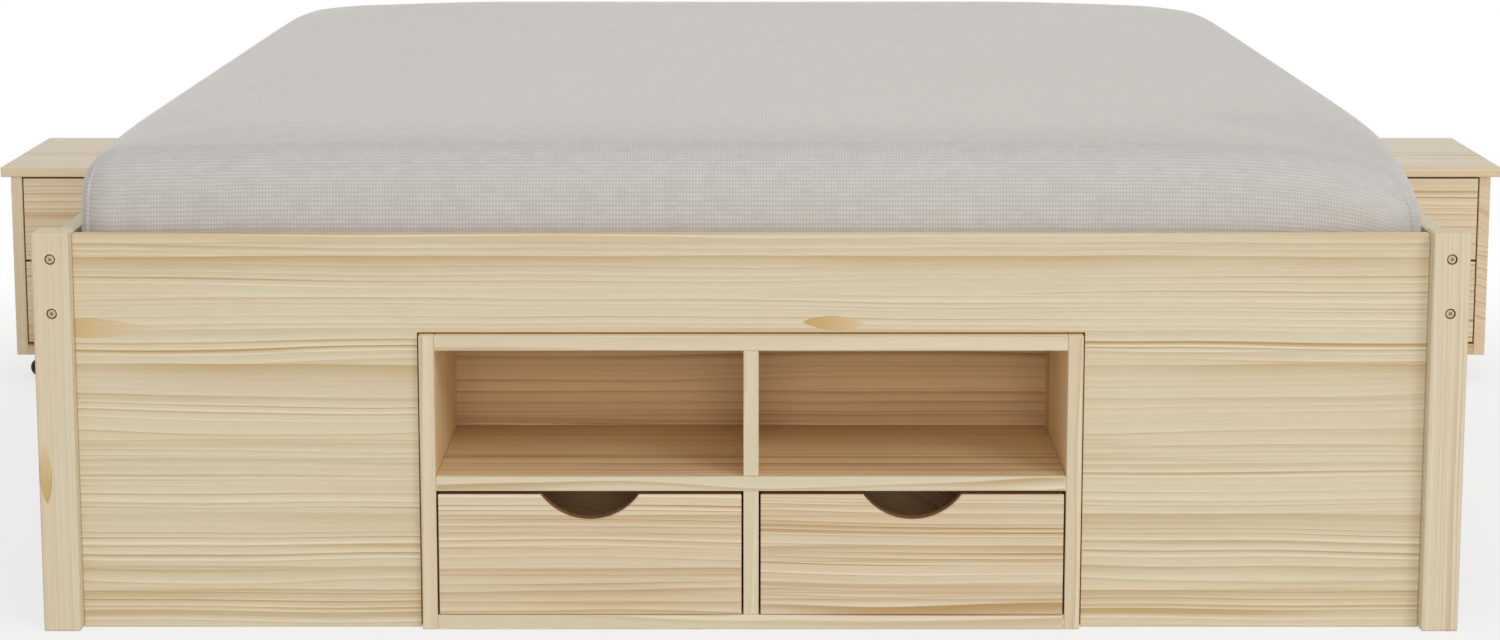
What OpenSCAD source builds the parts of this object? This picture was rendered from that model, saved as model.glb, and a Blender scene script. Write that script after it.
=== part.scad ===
// Storage bed with a shelf and drawer unit in its foot end and two roll-out nightstands.
// Origin: on the floor, in the middle of the bed. The foot end faces -Y, X runs across the
// bed, Z is up. The nightstands are drawn rolled out, one on each side.

/* [Mattress] */
// Width of the mattress
mattress_w = 1600; // [1500:10:1800]
// Length of the mattress
mattress_l = 2000; // [1900:10:2100]
// Height of the mattress from the slats to its shoulder
mattress_h = 165; // [130:5:220]
// Rise of the top from the shoulder to the middle
mattress_crown = 8; // [2:1:20]
// Radius of the corners, seen from above
mattress_corner_r = 55; // [40:5:90]
// Radius of the upper edge
mattress_top_r = 52; // [30:2:60]
// Radius of the lower edge
mattress_bottom_r = 24; // [12:2:40]
// How far the sides draw in between the corners
mattress_draw = 3; // [0:0.5:8]

/* [Bed frame] */
// Width and depth of the corner posts
post_size = 43.5; // [40:0.5:60]
// Height of the corner posts
post_h = 476.5; // [460:0.5:540]
// Radius on the edges of the corner posts
post_ease = 3; // [1:0.5:5]
// Thickness of the foot and head panels
panel_t = 18; // [15:0.5:22]
// Height of the foot and head panels
panel_h = 472; // [455:1:530]
// Distance from the outer face of a post back to the outer face of its panel
panel_recess = 20; // [10:0.5:22]
// Thickness of the side rails
rail_t = 22; // [18:0.5:28]
// Height of the side rails
rail_h = 104; // [90:1:110]
// Distance from the top of the posts down to the top of the rails
rail_drop = 11; // [4:0.5:16]
// Gap between the mattress and each side rail
side_gap = 2; // [1:0.5:10]
// Gap between the mattress and each end panel
end_gap = 5; // [3:0.5:15]
// Radius on the edges of the boards
board_ease = 1.5; // [0.5:0.25:2.5]

/* [Slats and beam] */
// Number of slats
slat_count = 13; // [9:1:17]
// Width of a slat
slat_w = 70; // [50:5:90]
// Thickness of a slat
slat_t = 18; // [15:1:24]
// Distance from the end of the mattress to the first slat
slat_margin = 30; // [10:5:60]
// Play between the slats and the side rails
slat_play = 2; // [0.5:0.5:5]
// Width of the strips that carry the slats
ledger_w = 22; // [16:1:32]
// Height of the strips that carry the slats
ledger_h = 20; // [16:1:26]
// Width of the beam under the middle of the slats
beam_w = 70; // [50:5:100]
// Number of legs under the beam
leg_count = 2; // [1:1:3]
// Width and depth of a beam leg
leg_size = 45; // [35:1:60]
// Width and depth of the fixing cleats
cleat_size = 18; // [14:1:24]

/* [Bolts and dowels] */
// Diameter of the frame bolts
bolt_d = 6; // [5:0.5:8]
// Length of the frame bolts under the head
bolt_l = 85; // [70:5:110]
// Diameter of the bolt heads
bolt_head_d = 12; // [10:0.5:15]
// Height of the bolt heads
bolt_head_h = 5; // [3:0.5:6]
// Depth of the bolt heads below the face of the post
bolt_sink = 1.5; // [0.5:0.25:3]
// Width of the hexagon socket in the bolt heads
bolt_socket = 4; // [3:0.5:5]
// Bevel on the rim of the bolt heads
bolt_bevel = 1.5; // [0.5:0.25:2]
// Distance from the top and bottom edges of a rail to its bolts
bolt_edge = 20; // [15:1:30]
// Diameter of the barrel nuts
barrel_d = 10; // [9:0.5:14]
// Distance from the end of a rail to its barrel nuts
barrel_inset = 40; // [30:1:50]
// Diameter of the dowels
dowel_d = 8; // [6:0.5:10]
// Depth of a dowel in each board that it joins
dowel_depth = 14; // [10:0.5:15]
// Radial clearance of bolts, nuts and dowels in their holes
hole_clear = 0.1; // [0.05:0.05:0.3]
// Wood left between a barrel nut and the outer face of the rail
barrel_skin = 2; // [1:0.5:4]
// Thickness of the glue or fit between small pieces that are fixed together
fit_gap = 0.1; // [0.05:0.05:0.3]

/* [Foot unit] */
// Width of the shelf and drawer unit
unit_w = 777; // [700:1:840]
// Thickness of its boards
unit_t = 18; // [15:0.5:22]
// Height of the open niches
niche_h = 150; // [130:1:155]
// Height of the drawer openings
drawer_bay_h = 150; // [130:1:155]
// Depth of the niches
niche_depth = 281; // [240:1:340]
// Thickness of its back
unit_back_t = 6; // [4:0.5:10]
// Distance from the outer face of the posts back to the front of the unit
unit_recess = 9; // [4:0.5:18]
// Gap between the unit and the cut-out in the foot panel
unit_gap = 2.5; // [1:0.25:5]
// Gap between the top of the unit and the cut-out
unit_top_gap = 2; // [1:0.25:4]
// Distance from the front and back of a shelf to its dowels
unit_dowel_inset = 45; // [30:5:80]

/* [Drawers] */
// Thickness of the drawer fronts
front_t = 18; // [15:0.5:22]
// Thickness of the drawer sides and backs
box_t = 12; // [10:0.5:14]
// Thickness of the drawer bottoms
box_bottom_t = 5; // [3:0.5:6]
// Height of the drawer bottoms above the lower edge of the drawer sides
box_bottom_z = 8; // [5:0.5:12]
// Depth of the grooves that hold the drawer bottoms
box_groove = 5; // [3:0.5:6]
// Clearance of the drawer bottoms in their grooves
groove_clear = 0.2; // [0.1:0.05:0.4]
// Width of the half-moon finger cut-outs
moon_w = 116; // [80:1:150]
// Depth of the half-moon finger cut-outs
moon_h = 30; // [20:1:40]
// Chamfer around the finger cut-outs
moon_ease = 1.5; // [0.5:0.25:2.5]
// Side gap between a foot drawer front and its bay
foot_front_gap = 2.25; // [1:0.25:4]
// Gap above a foot drawer front
foot_front_gap_top = 4; // [1:0.25:5]
// Gap under a foot drawer front
foot_front_gap_bottom = 0.5; // [0.3:0.1:2]
// Height of the foot drawer boxes
foot_box_h = 108; // [80:1:118]
// Length of the foot drawer boxes behind the front
foot_box_l = 250; // [200:5:256]
// Clearance on each side of the foot drawer boxes
foot_box_play = 4; // [2:0.5:8]
// Clearance of a drawer above the board or runner that carries it
slide_gap = 0.3; // [0.2:0.05:0.6]

/* [Nightstands] */
// Width of the nightstand body
stand_w = 400; // [340:1:440]
// Depth of the nightstand body
stand_depth = 360; // [320:1:420]
// Height of a nightstand
stand_h = 352; // [330:1:356]
// Distance from the foot end of the bed back to the front of the nightstands
stand_back = 1460; // [1100:5:1560]
// Distance from the outer face of the side rail to the outer face of a rolled-out nightstand
stand_out = 367; // [300:1:400]
// Thickness of the side and bottom boards
stand_t = 18; // [15:0.5:22]
// Thickness of the nightstand top
stand_top_t = 16; // [14:0.5:22]
// Overhang of the top at the sides
top_side_over = 15; // [5:1:25]
// Overhang of the top at the front and back
top_front_over = 5; // [2:0.5:12]
// Thickness of the nightstand back
stand_back_t = 5; // [3:0.5:8]
// Gap around the nightstand drawer fronts at the sides
stand_front_gap = 2; // [1:0.25:4]
// Gap above, between and below the nightstand drawer fronts
stand_row_gap = 3; // [1.5:0.25:5]
// Height of the nightstand drawer boxes
stand_box_h = 100; // [70:1:115]
// Length of the nightstand drawer boxes behind the front
stand_box_l = 310; // [250:5:325]
// Clearance between a drawer box and the nightstand sides
stand_box_play = 1.5; // [1:0.25:3]
// Height of a drawer box above the lower edge of its front
stand_box_lift = 6; // [2:1:15]
// Thickness of the drawer runners
runner_t = 8; // [6:0.5:9]
// Height of the drawer runners
runner_h = 14; // [10:1:20]
// Height of the runner grooves above the lower edge of the drawer box
runner_z = 42; // [30:1:60]
// Clearance between a runner and the bottom of its groove
runner_clear = 0.5; // [0.3:0.1:1]

/* [Castors] */
// Height of a castor from the floor to the nightstand
castor_h = 44; // [42:1:55]
// Diameter of a castor wheel
wheel_d = 30; // [26:1:34]
// Width of the tread
wheel_w = 13; // [10:0.5:18]
// Distance from the swivel axis to the wheel axle
castor_trail = 18; // [12:0.5:22]
// Distance from the outer faces of the nightstand to the swivel axes, across
castor_inset_x = 45; // [45:1:80]
// Distance from the front and back of the nightstand to the swivel axes
castor_inset_y = 48; // [42:1:80]
// Width and depth of the castor plates
plate_size = 38; // [34:1:46]
// Thickness of the castor plates
plate_t = 2; // [1.5:0.25:3]
// Diameter of the wheel axle
axle_d = 5; // [4:0.5:7]
// Diameter of the swivel pin
kingpin_d = 8; // [6:0.5:10]
// Running clearance on the radius of axles and swivel pins
running = 0.05; // [0.02:0.01:0.1]
// Thickness of the fork cheeks
cheek_t = 2; // [1.5:0.25:3]
// Gap between the wheel hub and each cheek
hub_gap = 0.4; // [0.3:0.1:1]
// Diameter of the castor screws
screw_d = 3.5; // [3:0.25:4.5]
// Length of the castor screws in the wood
screw_l = 13; // [8:1:14]

/* [Hidden] */
$fn = 48;
left = -1;
right = 1;
cut = 1;

// Bed frame, across
rail_in_x = mattress_w / 2 + side_gap;
post_x = rail_in_x + rail_t / 2;
post_in_x = post_x - post_size / 2;
rail_out_x = rail_in_x + rail_t;

// Bed frame, along
panel_in_y = mattress_l / 2 + end_gap;
panel_out_y = panel_in_y + panel_t;
post_out_y = panel_out_y + panel_recess;
post_in_y = post_out_y - post_size;

// Bed frame, up
rail_top_z = post_h - rail_drop;
rail_z = rail_top_z - rail_h;
slat_z = rail_z + ledger_h;
deck_z = slat_z + slat_t;
bolt_heights = [rail_z + bolt_edge, rail_top_z - bolt_edge];
socket_depth = bolt_head_h * 0.6;
barrel_l = rail_t - 2 * barrel_skin;
bolt_reach = bolt_sink + bolt_head_h + bolt_l - post_size;
bolt_hole_l = bolt_reach + 3;
barrel_y = post_in_y - barrel_inset;
panel_dowel_heights = [panel_h * 0.15, panel_h * 0.5, panel_h * 0.875];
panel_mid_y = panel_in_y + panel_t / 2;
dowel_l = 2 * dowel_depth;

// Foot unit
unit_h = 3 * unit_t + niche_h + drawer_bay_h;
unit_in_x = unit_w / 2 - unit_t;
unit_front_y = -post_out_y + unit_recess;
niche_back_y = unit_front_y + niche_depth;
unit_back_y = niche_back_y + unit_back_t;
shelf_heights = [0, unit_t + drawer_bay_h, unit_h - unit_t];
divider_rows = [[unit_t, drawer_bay_h], [2 * unit_t + drawer_bay_h, niche_h]];
bay_w = unit_in_x - unit_t / 2;
bay_mid_x = (unit_in_x + unit_t / 2) / 2;
unit_dowel_ys = [unit_front_y + unit_dowel_inset, niche_back_y - unit_dowel_inset];
divider_dowel = unit_t / 2 - 1.5;

// Slats and beam
slat_l = 2 * (rail_in_x - slat_play);
slat_step = (mattress_l - 2 * slat_margin - slat_w) / (slat_count - 1);
slat_first_y = -mattress_l / 2 + slat_margin + slat_w / 2;
beam_z = unit_h;
beam_h = slat_z - beam_z;
leg_step = (panel_in_y - unit_back_y) / (leg_count + 1);

// Foot drawers
foot_front_w = bay_w - 2 * foot_front_gap;
foot_front_h = drawer_bay_h - foot_front_gap_top - foot_front_gap_bottom;
foot_front_z = unit_t + foot_front_gap_bottom;
foot_box_w = bay_w - 2 * foot_box_play;
foot_box_z = unit_t + slide_gap;

// Nightstands
stand_out_x = rail_out_x + stand_out;
stand_mid_x = stand_out_x - stand_w / 2;
stand_in_w = stand_w - 2 * stand_t;
stand_front_y = -post_out_y + stand_back;
stand_rear_y = stand_front_y + stand_depth;
stand_floor_z = castor_h + stand_t;
stand_top_z = stand_h - stand_top_t;
stand_front_w = stand_in_w - 2 * stand_front_gap;
stand_front_h = (stand_top_z - stand_floor_z - 3 * stand_row_gap) / 2;
lower_z = stand_floor_z + stand_row_gap;
upper_z = lower_z + stand_front_h + stand_row_gap;
stand_box_w = stand_in_w - 2 * stand_box_play;
runner_l = stand_depth - front_t - stand_back_t;
runner_groove = runner_t - stand_box_play + runner_clear;

// Castors
castor_x = stand_w / 2 - castor_inset_x;
castor_ys = [stand_front_y + castor_inset_y, stand_rear_y - castor_inset_y];
wheel_r = wheel_d / 2;
plate_z = castor_h - plate_t;
race_h = 1.5;
crown_top_z = plate_z - race_h - slide_gap;
crown_z = wheel_d + 3.5;
crown_r = 14;
race_r = 10;
hub_w = wheel_w + 1;
cheek_y = hub_w / 2 + hub_gap;
cheek_r = 6;
rivet_h = 1.2;
screw_step = plate_size / 2 - 6;

// Mattress surface: steps round a corner, along a side, and up the profile
corner_steps = 6;
side_steps = 8;
edge_steps = 5;
crown_steps = 4;

// ---------------------------------------------------------------- shared shapes

module pine() {
    color([0.86, 0.76, 0.60]) children();
}

module steel() {
    color([0.66, 0.62, 0.52]) children();
}

module black_plastic() {
    color([0.06, 0.06, 0.06]) children();
}

// Rectangle with round corners
module rounded_rect(size, r) {
    translate([r, 0]) square([size.x - 2 * r, size.y]);
    translate([0, r]) square([size.x, size.y - 2 * r]);
    for (x = [r, size.x - r], y = [r, size.y - r]) translate([x, y]) circle(r);
}

// Board with all its edges eased, centred on X, from y = 0 and z = 0
module board(size, ease = board_ease) {
    translate([-size.x / 2, 0, 0]) intersection() {
        linear_extrude(size.z) rounded_rect([size.x, size.y], ease);
        rotate([90, 0, 90]) linear_extrude(size.x) rounded_rect([size.y, size.z], ease);
        translate([0, size.y, 0]) rotate([90, 0, 0])
            linear_extrude(size.y) rounded_rect([size.x, size.z], ease);
    }
}

// Rod along X, centred
module rod_x(r, l) {
    rotate([0, 90, 0]) cylinder(r = r, h = l, center = true);
}

// Rod along Y, centred
module rod_y(r, l) {
    rotate([90, 0, 0]) cylinder(r = r, h = l, center = true);
}

// ---------------------------------------------------------------- bed frame

// Holes in a post: bolt shanks, their sunk heads and the blind dowel holes towards the panel
module post_holes() {
    for (z = bolt_heights) translate([0, -post_out_y, z]) {
        translate([0, post_size / 2, 0]) rod_y(bolt_d / 2 + hole_clear, post_size + 2 * cut);
        translate([0, (bolt_sink + bolt_head_h - cut) / 2, 0])
            rod_y(bolt_head_d / 2 + 3 * hole_clear, bolt_sink + bolt_head_h + cut);
    }
    for (z = panel_dowel_heights) translate([-post_size / 2 + dowel_depth / 2, -panel_mid_y, z])
        rod_x(dowel_d / 2 + hole_clear, dowel_depth + 2 * cut);
}

// Post at the foot end, on the right, with its middle at X = 0
module post() {
    pine() difference() {
        translate([0, -post_out_y, 0]) board([post_size, post_size, post_h], post_ease);
        post_holes();
    }
}

module foot_post_left() {
    mirror([1, 0, 0]) foot_post_right();
}

module foot_post_right() {
    translate([post_x, 0, 0]) post();
}

module head_posts() {
    for (side = [0, 1]) mirror([side, 0, 0]) mirror([0, 1, 0]) foot_post_right();
}

// Panel between two posts at the foot end
module end_panel() {
    pine() difference() {
        translate([0, -panel_out_y, 0]) board([2 * post_in_x, panel_t, panel_h]);
        for (side = [left, right], z = panel_dowel_heights)
            translate([side * (post_in_x - dowel_depth / 2), -panel_mid_y, z])
                rod_x(dowel_d / 2 + hole_clear, dowel_depth + 2 * cut);
        children();
    }
}

module foot_panel() {
    cutout_w = unit_w + 2 * unit_gap;
    end_panel() translate([-cutout_w / 2, -panel_out_y - cut, -cut])
        cube([cutout_w, panel_t + 2 * cut, unit_h + unit_top_gap + cut]);
}

module head_panel() {
    mirror([0, 1, 0]) end_panel();
}

module side_rail_left() {
    mirror([1, 0, 0]) side_rail_right();
}

module side_rail_right() {
    pine() difference() {
        translate([post_x, -post_in_y, rail_z]) board([rail_t, 2 * post_in_y, rail_h]);
        for (end = [-1, 1], z = bolt_heights) {
            translate([post_x, end * (post_in_y - (bolt_hole_l - cut) / 2), z])
                rod_y(bolt_d / 2 + hole_clear, bolt_hole_l + cut);
            translate([post_x - barrel_skin + fit_gap, end * barrel_y, z])
                rod_x(barrel_d / 2 + hole_clear, rail_t);
        }
    }
}

module slat_ledgers() {
    for (side = [left, right]) pine()
        translate([side * (rail_in_x - ledger_w / 2), -post_in_y, rail_z])
            board([ledger_w, 2 * post_in_y, ledger_h]);
}

module slats() {
    for (i = [0 : slat_count - 1]) pine()
        translate([-slat_l / 2, slat_first_y + i * slat_step - slat_w / 2, slat_z])
            rotate([90, 0, 90]) linear_extrude(slat_l) rounded_rect([slat_w, slat_t], board_ease);
}

// Beam from the foot panel to the head panel. It lies on the top of the foot unit, on its
// legs and on the cleat at the head end.
module centre_beam() {
    pine() translate([0, -panel_in_y, beam_z]) board([beam_w, 2 * panel_in_y, beam_h]);
}

module centre_legs() {
    for (i = [1 : leg_count]) pine()
        translate([0, unit_back_y + i * leg_step - leg_size / 2, 0])
            board([leg_size, leg_size, beam_z], post_ease);
}

// Cleats: two upright ones hold the foot unit against the back of the foot panel, and one
// carries the head end of the beam.
module fixing_cleats() {
    for (side = [left, right]) pine()
        translate([side * (unit_w / 2 + cleat_size / 2), -panel_in_y, 0])
            board([cleat_size, cleat_size, unit_h]);
    pine() translate([0, panel_in_y - cleat_size, beam_z - 2 * cleat_size])
        board([2 * beam_w, cleat_size, 2 * cleat_size]);
}

// Bolt with a round, bevelled head and a hexagon socket, its head on the foot side
module frame_bolt() {
    steel() difference() {
        union() {
            rotate([-90, 0, 0]) {
                cylinder(r1 = bolt_head_d / 2 - bolt_bevel, r2 = bolt_head_d / 2, h = bolt_bevel);
                translate([0, 0, bolt_bevel]) cylinder(d = bolt_head_d, h = bolt_head_h - bolt_bevel);
                translate([0, 0, bolt_head_h - cut]) cylinder(d = bolt_d, h = bolt_l + cut);
            }
        }
        translate([0, socket_depth, 0]) rotate([90, 0, 0])
            cylinder(d = bolt_socket / cos(30), h = socket_depth + cut, $fn = 6);
    }
}

module frame_bolts() {
    for (x = [0, 1], y = [0, 1], z = bolt_heights) mirror([x, 0, 0]) mirror([0, y, 0])
        translate([post_x, -post_out_y + bolt_sink, z]) frame_bolt();
}

module barrel_nuts() {
    for (x = [0, 1], y = [0, 1], z = bolt_heights) mirror([x, 0, 0]) mirror([0, y, 0])
        steel() translate([post_x, -barrel_y, z]) difference() {
            rod_x(barrel_d / 2, barrel_l);
            rod_y(bolt_d / 2 + hole_clear, barrel_d + 2 * cut);
        }
}

// Dowels between the posts and panels, and between the boards of the foot unit
module dowels() {
    length = dowel_l - 1;
    for (x = [left, right], y = [left, right], z = panel_dowel_heights)
        pine() translate([x * post_in_x, y * panel_mid_y, z]) rod_x(dowel_d / 2, length);
    for (x = [left, right], y = unit_dowel_ys, z = shelf_heights) pine()
        translate([x * unit_in_x, y, z + unit_t / 2]) rod_x(dowel_d / 2, length);
    for (row = divider_rows, z = [row[0], row[0] + row[1]], y = unit_dowel_ys)
        pine() translate([0, y, z])
            cylinder(d = dowel_d, h = 2 * divider_dowel - 1, center = true);
}

// ---------------------------------------------------------------- mattress

// Outline of the mattress, drawn in by `inset` and rounded by `r`. Each point is x, y and a
// weight that is 0 at the corners and 1 in the middle of a side.
function outline(inset, r) = [
    for (q = [0 : 3])
        let (
            turn = 90 * q,
            half_x = (q % 2 == 0 ? mattress_w : mattress_l) / 2 - inset,
            half_y = (q % 2 == 0 ? mattress_l : mattress_w) / 2 - inset
        )
        for (p = concat(
            [for (i = [0 : side_steps - 1])
                let (t = -1 + 2 * i / side_steps)
                [half_x, t * (half_y - r), 1 - t * t]],
            [for (i = [0 : corner_steps - 1])
                let (a = 90 * i / corner_steps)
                [half_x - r + r * cos(a), half_y - r + r * sin(a), 0]]
        )) [p.x * cos(turn) - p.y * sin(turn), p.x * sin(turn) + p.y * cos(turn), p.z]
];

// One level of the surface: inset and height, with the sides drawn in by `pull`
function level(inset, z, pull) =
    [for (p = outline(inset, max(mattress_corner_r - inset, 6)))
        let (s = 1 - pull * p.z / (mattress_w / 2)) [p.x * s, p.y * s, z]];

// One level of the crown: the shoulder outline shrunk to `s` of its size and raised
function crown_level(s) =
    [for (p = outline(mattress_top_r, max(mattress_corner_r - mattress_top_r, 6)))
        [p.x * s, p.y * s, deck_z + mattress_h + mattress_crown * (1 - s * s)]];

module mattress() {
    waist_z = deck_z + mattress_bottom_r;
    shoulder_z = deck_z + mattress_h - mattress_top_r;
    levels = concat(
        [for (i = [0 : edge_steps - 2])
            let (a = 90 * i / (edge_steps - 1))
            level(mattress_bottom_r * (1 - sin(a)), waist_z - mattress_bottom_r * cos(a), 0)],
        [level(0, (waist_z + shoulder_z) / 2, mattress_draw)],
        [for (i = [0 : edge_steps])
            let (a = 90 * i / edge_steps)
            level(mattress_top_r * (1 - cos(a)), shoulder_z + mattress_top_r * sin(a), 0)],
        [for (i = [1 : crown_steps - 1]) crown_level(1 - i / crown_steps)]
    );
    around = len(levels[0]);
    points = concat(
        [for (ring = levels) each ring],
        [[0, 0, deck_z], [0, 0, deck_z + mattress_h + mattress_crown]]
    );
    base = around * len(levels);
    faces = concat(
        [for (i = [0 : len(levels) - 2], k = [0 : around - 1])
            let (a = i * around + k, b = i * around + (k + 1) % around)
            each [[a, a + around, b + around], [a, b + around, b]]],
        [for (k = [0 : around - 1]) [base, k, (k + 1) % around]],
        [for (k = [0 : around - 1])
            [base + 1, base - around + (k + 1) % around, base - around + k]]
    );
    color([0.76, 0.75, 0.73]) polyhedron(points, faces);
}

// ---------------------------------------------------------------- foot unit

module unit_sides() {
    for (side = [left, right]) pine() difference() {
        translate([side * (unit_w - unit_t) / 2, unit_front_y, 0])
            board([unit_t, niche_depth + unit_back_t, unit_h]);
        for (y = unit_dowel_ys, z = shelf_heights)
            translate([side * (unit_in_x + dowel_depth / 2), y, z + unit_t / 2])
                rod_x(dowel_d / 2 + hole_clear, dowel_depth + 2 * cut);
    }
}

// Bottom, shelf and top of the unit
module unit_shelves() {
    for (row = shelf_heights) pine() difference() {
        translate([0, unit_front_y, row]) board([2 * unit_in_x, niche_depth, unit_t]);
        for (side = [left, right], y = unit_dowel_ys)
            translate([side * (unit_in_x - dowel_depth / 2), y, row + unit_t / 2])
                rod_x(dowel_d / 2 + hole_clear, dowel_depth + 2 * cut);
        divider_dowel_holes();
    }
}

module divider_dowel_holes() {
    for (row = divider_rows, z = [row[0], row[0] + row[1]], y = unit_dowel_ys)
        translate([0, y, z])
            cylinder(r = dowel_d / 2 + hole_clear, h = 2 * divider_dowel, center = true);
}

module unit_dividers() {
    for (row = divider_rows) pine() difference() {
        translate([0, unit_front_y, row[0]]) board([unit_t, niche_depth, row[1]]);
        divider_dowel_holes();
    }
}

module unit_back() {
    pine() translate([-unit_in_x, niche_back_y, 0])
        cube([2 * unit_in_x, unit_back_t, unit_h]);
}

// ---------------------------------------------------------------- drawers

// Drawer front with its half-moon finger cut-out and the groove for the drawer bottom. Its
// lower edge is at z = 0, its back face at y = 0, and the box behind it starts at box_z.
module drawer_front(w, h, box_w, box_z) {
    moon_r = (moon_w * moon_w / 4 + moon_h * moon_h) / (2 * moon_h);
    groove_w = box_w - 2 * (box_t - box_groove) + 2 * groove_clear;
    pine() difference() {
        translate([0, -front_t, 0]) board([w, front_t, h]);
        translate([0, 0, h - moon_h + moon_r]) {
            translate([0, -front_t / 2, 0]) rod_y(moon_r, front_t + 2 * cut);
            translate([0, -front_t + moon_ease, 0]) rotate([90, 0, 0])
                cylinder(r1 = moon_r, r2 = moon_r + moon_ease + cut, h = moon_ease + cut);
        }
        translate([-groove_w / 2, -box_groove - groove_clear, box_z + box_bottom_z - groove_clear])
            cube([groove_w, box_groove + groove_clear + cut, box_bottom_t + 2 * groove_clear]);
    }
}

// Drawer box behind a front: two sides, a back and a bottom let into grooves
module drawer_box(w, l, h, runner_groove_depth = 0) {
    bottom_w = w - 2 * (box_t - box_groove);
    bottom_slot = box_bottom_t + 2 * groove_clear;
    back_z = box_bottom_z + box_bottom_t + groove_clear;
    for (side = [left, right]) pine() difference() {
        translate([side * (w - box_t) / 2, 0, 0]) board([box_t, l, h]);
        translate([side * (w / 2 - box_t), l / 2, box_bottom_z + box_bottom_t / 2])
            cube([2 * (box_groove + groove_clear), l + 2 * cut, bottom_slot], center = true);
        if (runner_groove_depth > 0)
            translate([side * w / 2, l / 2, runner_z + runner_h / 2])
                cube([2 * runner_groove_depth, l + 2 * cut, runner_h + 2 * slide_gap],
                    center = true);
    }
    pine() translate([0, l - box_t, back_z])
        board([w - 2 * box_t - 2 * fit_gap, box_t, h - back_z]);
    pine() translate([-bottom_w / 2, -box_groove, box_bottom_z])
        cube([bottom_w, l + box_groove, box_bottom_t]);
}

module foot_drawer_front(side) {
    translate([side * bay_mid_x, unit_front_y + front_t, foot_front_z])
        drawer_front(foot_front_w, foot_front_h, foot_box_w, foot_box_z - foot_front_z);
}

module foot_drawer_box(side) {
    translate([side * bay_mid_x, unit_front_y + front_t, foot_box_z])
        drawer_box(foot_box_w, foot_box_l, foot_box_h);
}

// ---------------------------------------------------------------- nightstands

module stand_top(side) {
    pine() translate([side * stand_mid_x, stand_front_y - top_front_over, stand_top_z])
        board([stand_w + 2 * top_side_over, stand_depth + 2 * top_front_over, stand_top_t], 2);
}

module stand_sides(side) {
    for (end = [left, right]) pine()
        translate([side * stand_mid_x + end * (stand_w - stand_t) / 2, stand_front_y, castor_h])
            board([stand_t, stand_depth, stand_top_z - castor_h]);
}

module stand_bottom(side) {
    pine() difference() {
        translate([side * stand_mid_x, stand_front_y, castor_h])
            board([stand_in_w, stand_depth, stand_t]);
        castor_places(side) for (x = [left, right], y = [left, right])
            translate([x * screw_step, y * screw_step, castor_h - cut])
                cylinder(r = screw_d / 2 + hole_clear, h = screw_l + 2 * cut);
    }
}

module stand_back(side) {
    pine() translate([side * stand_mid_x - stand_in_w / 2, stand_rear_y - stand_back_t,
        stand_floor_z])
        cube([stand_in_w, stand_back_t, stand_top_z - stand_floor_z]);
}

module stand_runners(side) {
    for (end = [left, right], z = [lower_z, upper_z]) pine()
        translate([side * stand_mid_x + end * (stand_in_w - runner_t) / 2,
            stand_front_y + front_t, z + stand_box_lift + runner_z])
            board([runner_t, runner_l, runner_h], board_ease / 2);
}

module stand_drawer_front(side, z) {
    translate([side * stand_mid_x, stand_front_y + front_t, z])
        drawer_front(stand_front_w, stand_front_h, stand_box_w, stand_box_lift);
}

module stand_drawer_box(side, z) {
    translate([side * stand_mid_x, stand_front_y + front_t, z + stand_box_lift])
        drawer_box(stand_box_w, stand_box_l, stand_box_h, runner_groove);
}

// ---------------------------------------------------------------- castors

// Puts its children at the swivel axis of each castor of one nightstand
module castor_places(side) {
    for (x = [left, right], y = castor_ys)
        translate([side * stand_mid_x + x * castor_x, y, 0]) children();
}

// Puts its children at the swivel axis of one castor: 1 and 2 at the front, odd numbers on
// the outer side
module castor_place(side, number) {
    outer = number % 2 == 1 ? 1 : -1;
    translate([side * (stand_mid_x + outer * castor_x), castor_ys[number > 2 ? 1 : 0], 0])
        children();
}

module castor_screw() {
    head_h = screw_d * 0.45;
    translate([0, 0, plate_z - head_h - fit_gap]) cylinder(d = 2 * screw_d, h = head_h);
    translate([0, 0, plate_z - head_h]) cylinder(d = screw_d, h = head_h + plate_t + screw_l);
}

// Plates with their swivel pins, and the screws that hold them
module castor_plates(side) {
    castor_places(side) {
        steel() difference() {
            union() {
                translate([0, -plate_size / 2, plate_z]) linear_extrude(plate_t)
                    translate([-plate_size / 2, 0]) rounded_rect([plate_size, plate_size], 5);
                translate([0, 0, plate_z - race_h]) cylinder(r = race_r, h = race_h + plate_t / 2);
                translate([0, 0, crown_z - rivet_h])
                    cylinder(d = kingpin_d, h = plate_z - crown_z + rivet_h);
                translate([0, 0, crown_z - rivet_h - slide_gap])
                    cylinder(d = kingpin_d + 4, h = rivet_h);
            }
            for (x = [left, right], y = [left, right])
                translate([x * screw_step, y * screw_step, plate_z - cut])
                    cylinder(r = screw_d / 2 + hole_clear, h = plate_t + 2 * cut);
        }
        for (x = [left, right], y = [left, right])
            steel() translate([x * screw_step, y * screw_step, 0]) castor_screw();
    }
}

// Outline of a fork cheek, seen from the side: from the crown down to the axle
module cheek_outline() {
    circle_x = -castor_trail;
    translate([circle_x, wheel_r]) circle(cheek_r);
    polygon([
        [circle_x - cheek_r, wheel_r],
        [-crown_r * 0.75, crown_top_z - 2],
        [crown_r * 0.75, crown_top_z - 2],
        [crown_r * 0.75, crown_z],
        [circle_x + cheek_r * 0.8, wheel_r - cheek_r * 0.6],
        [circle_x, wheel_r]
    ]);
}

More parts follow.
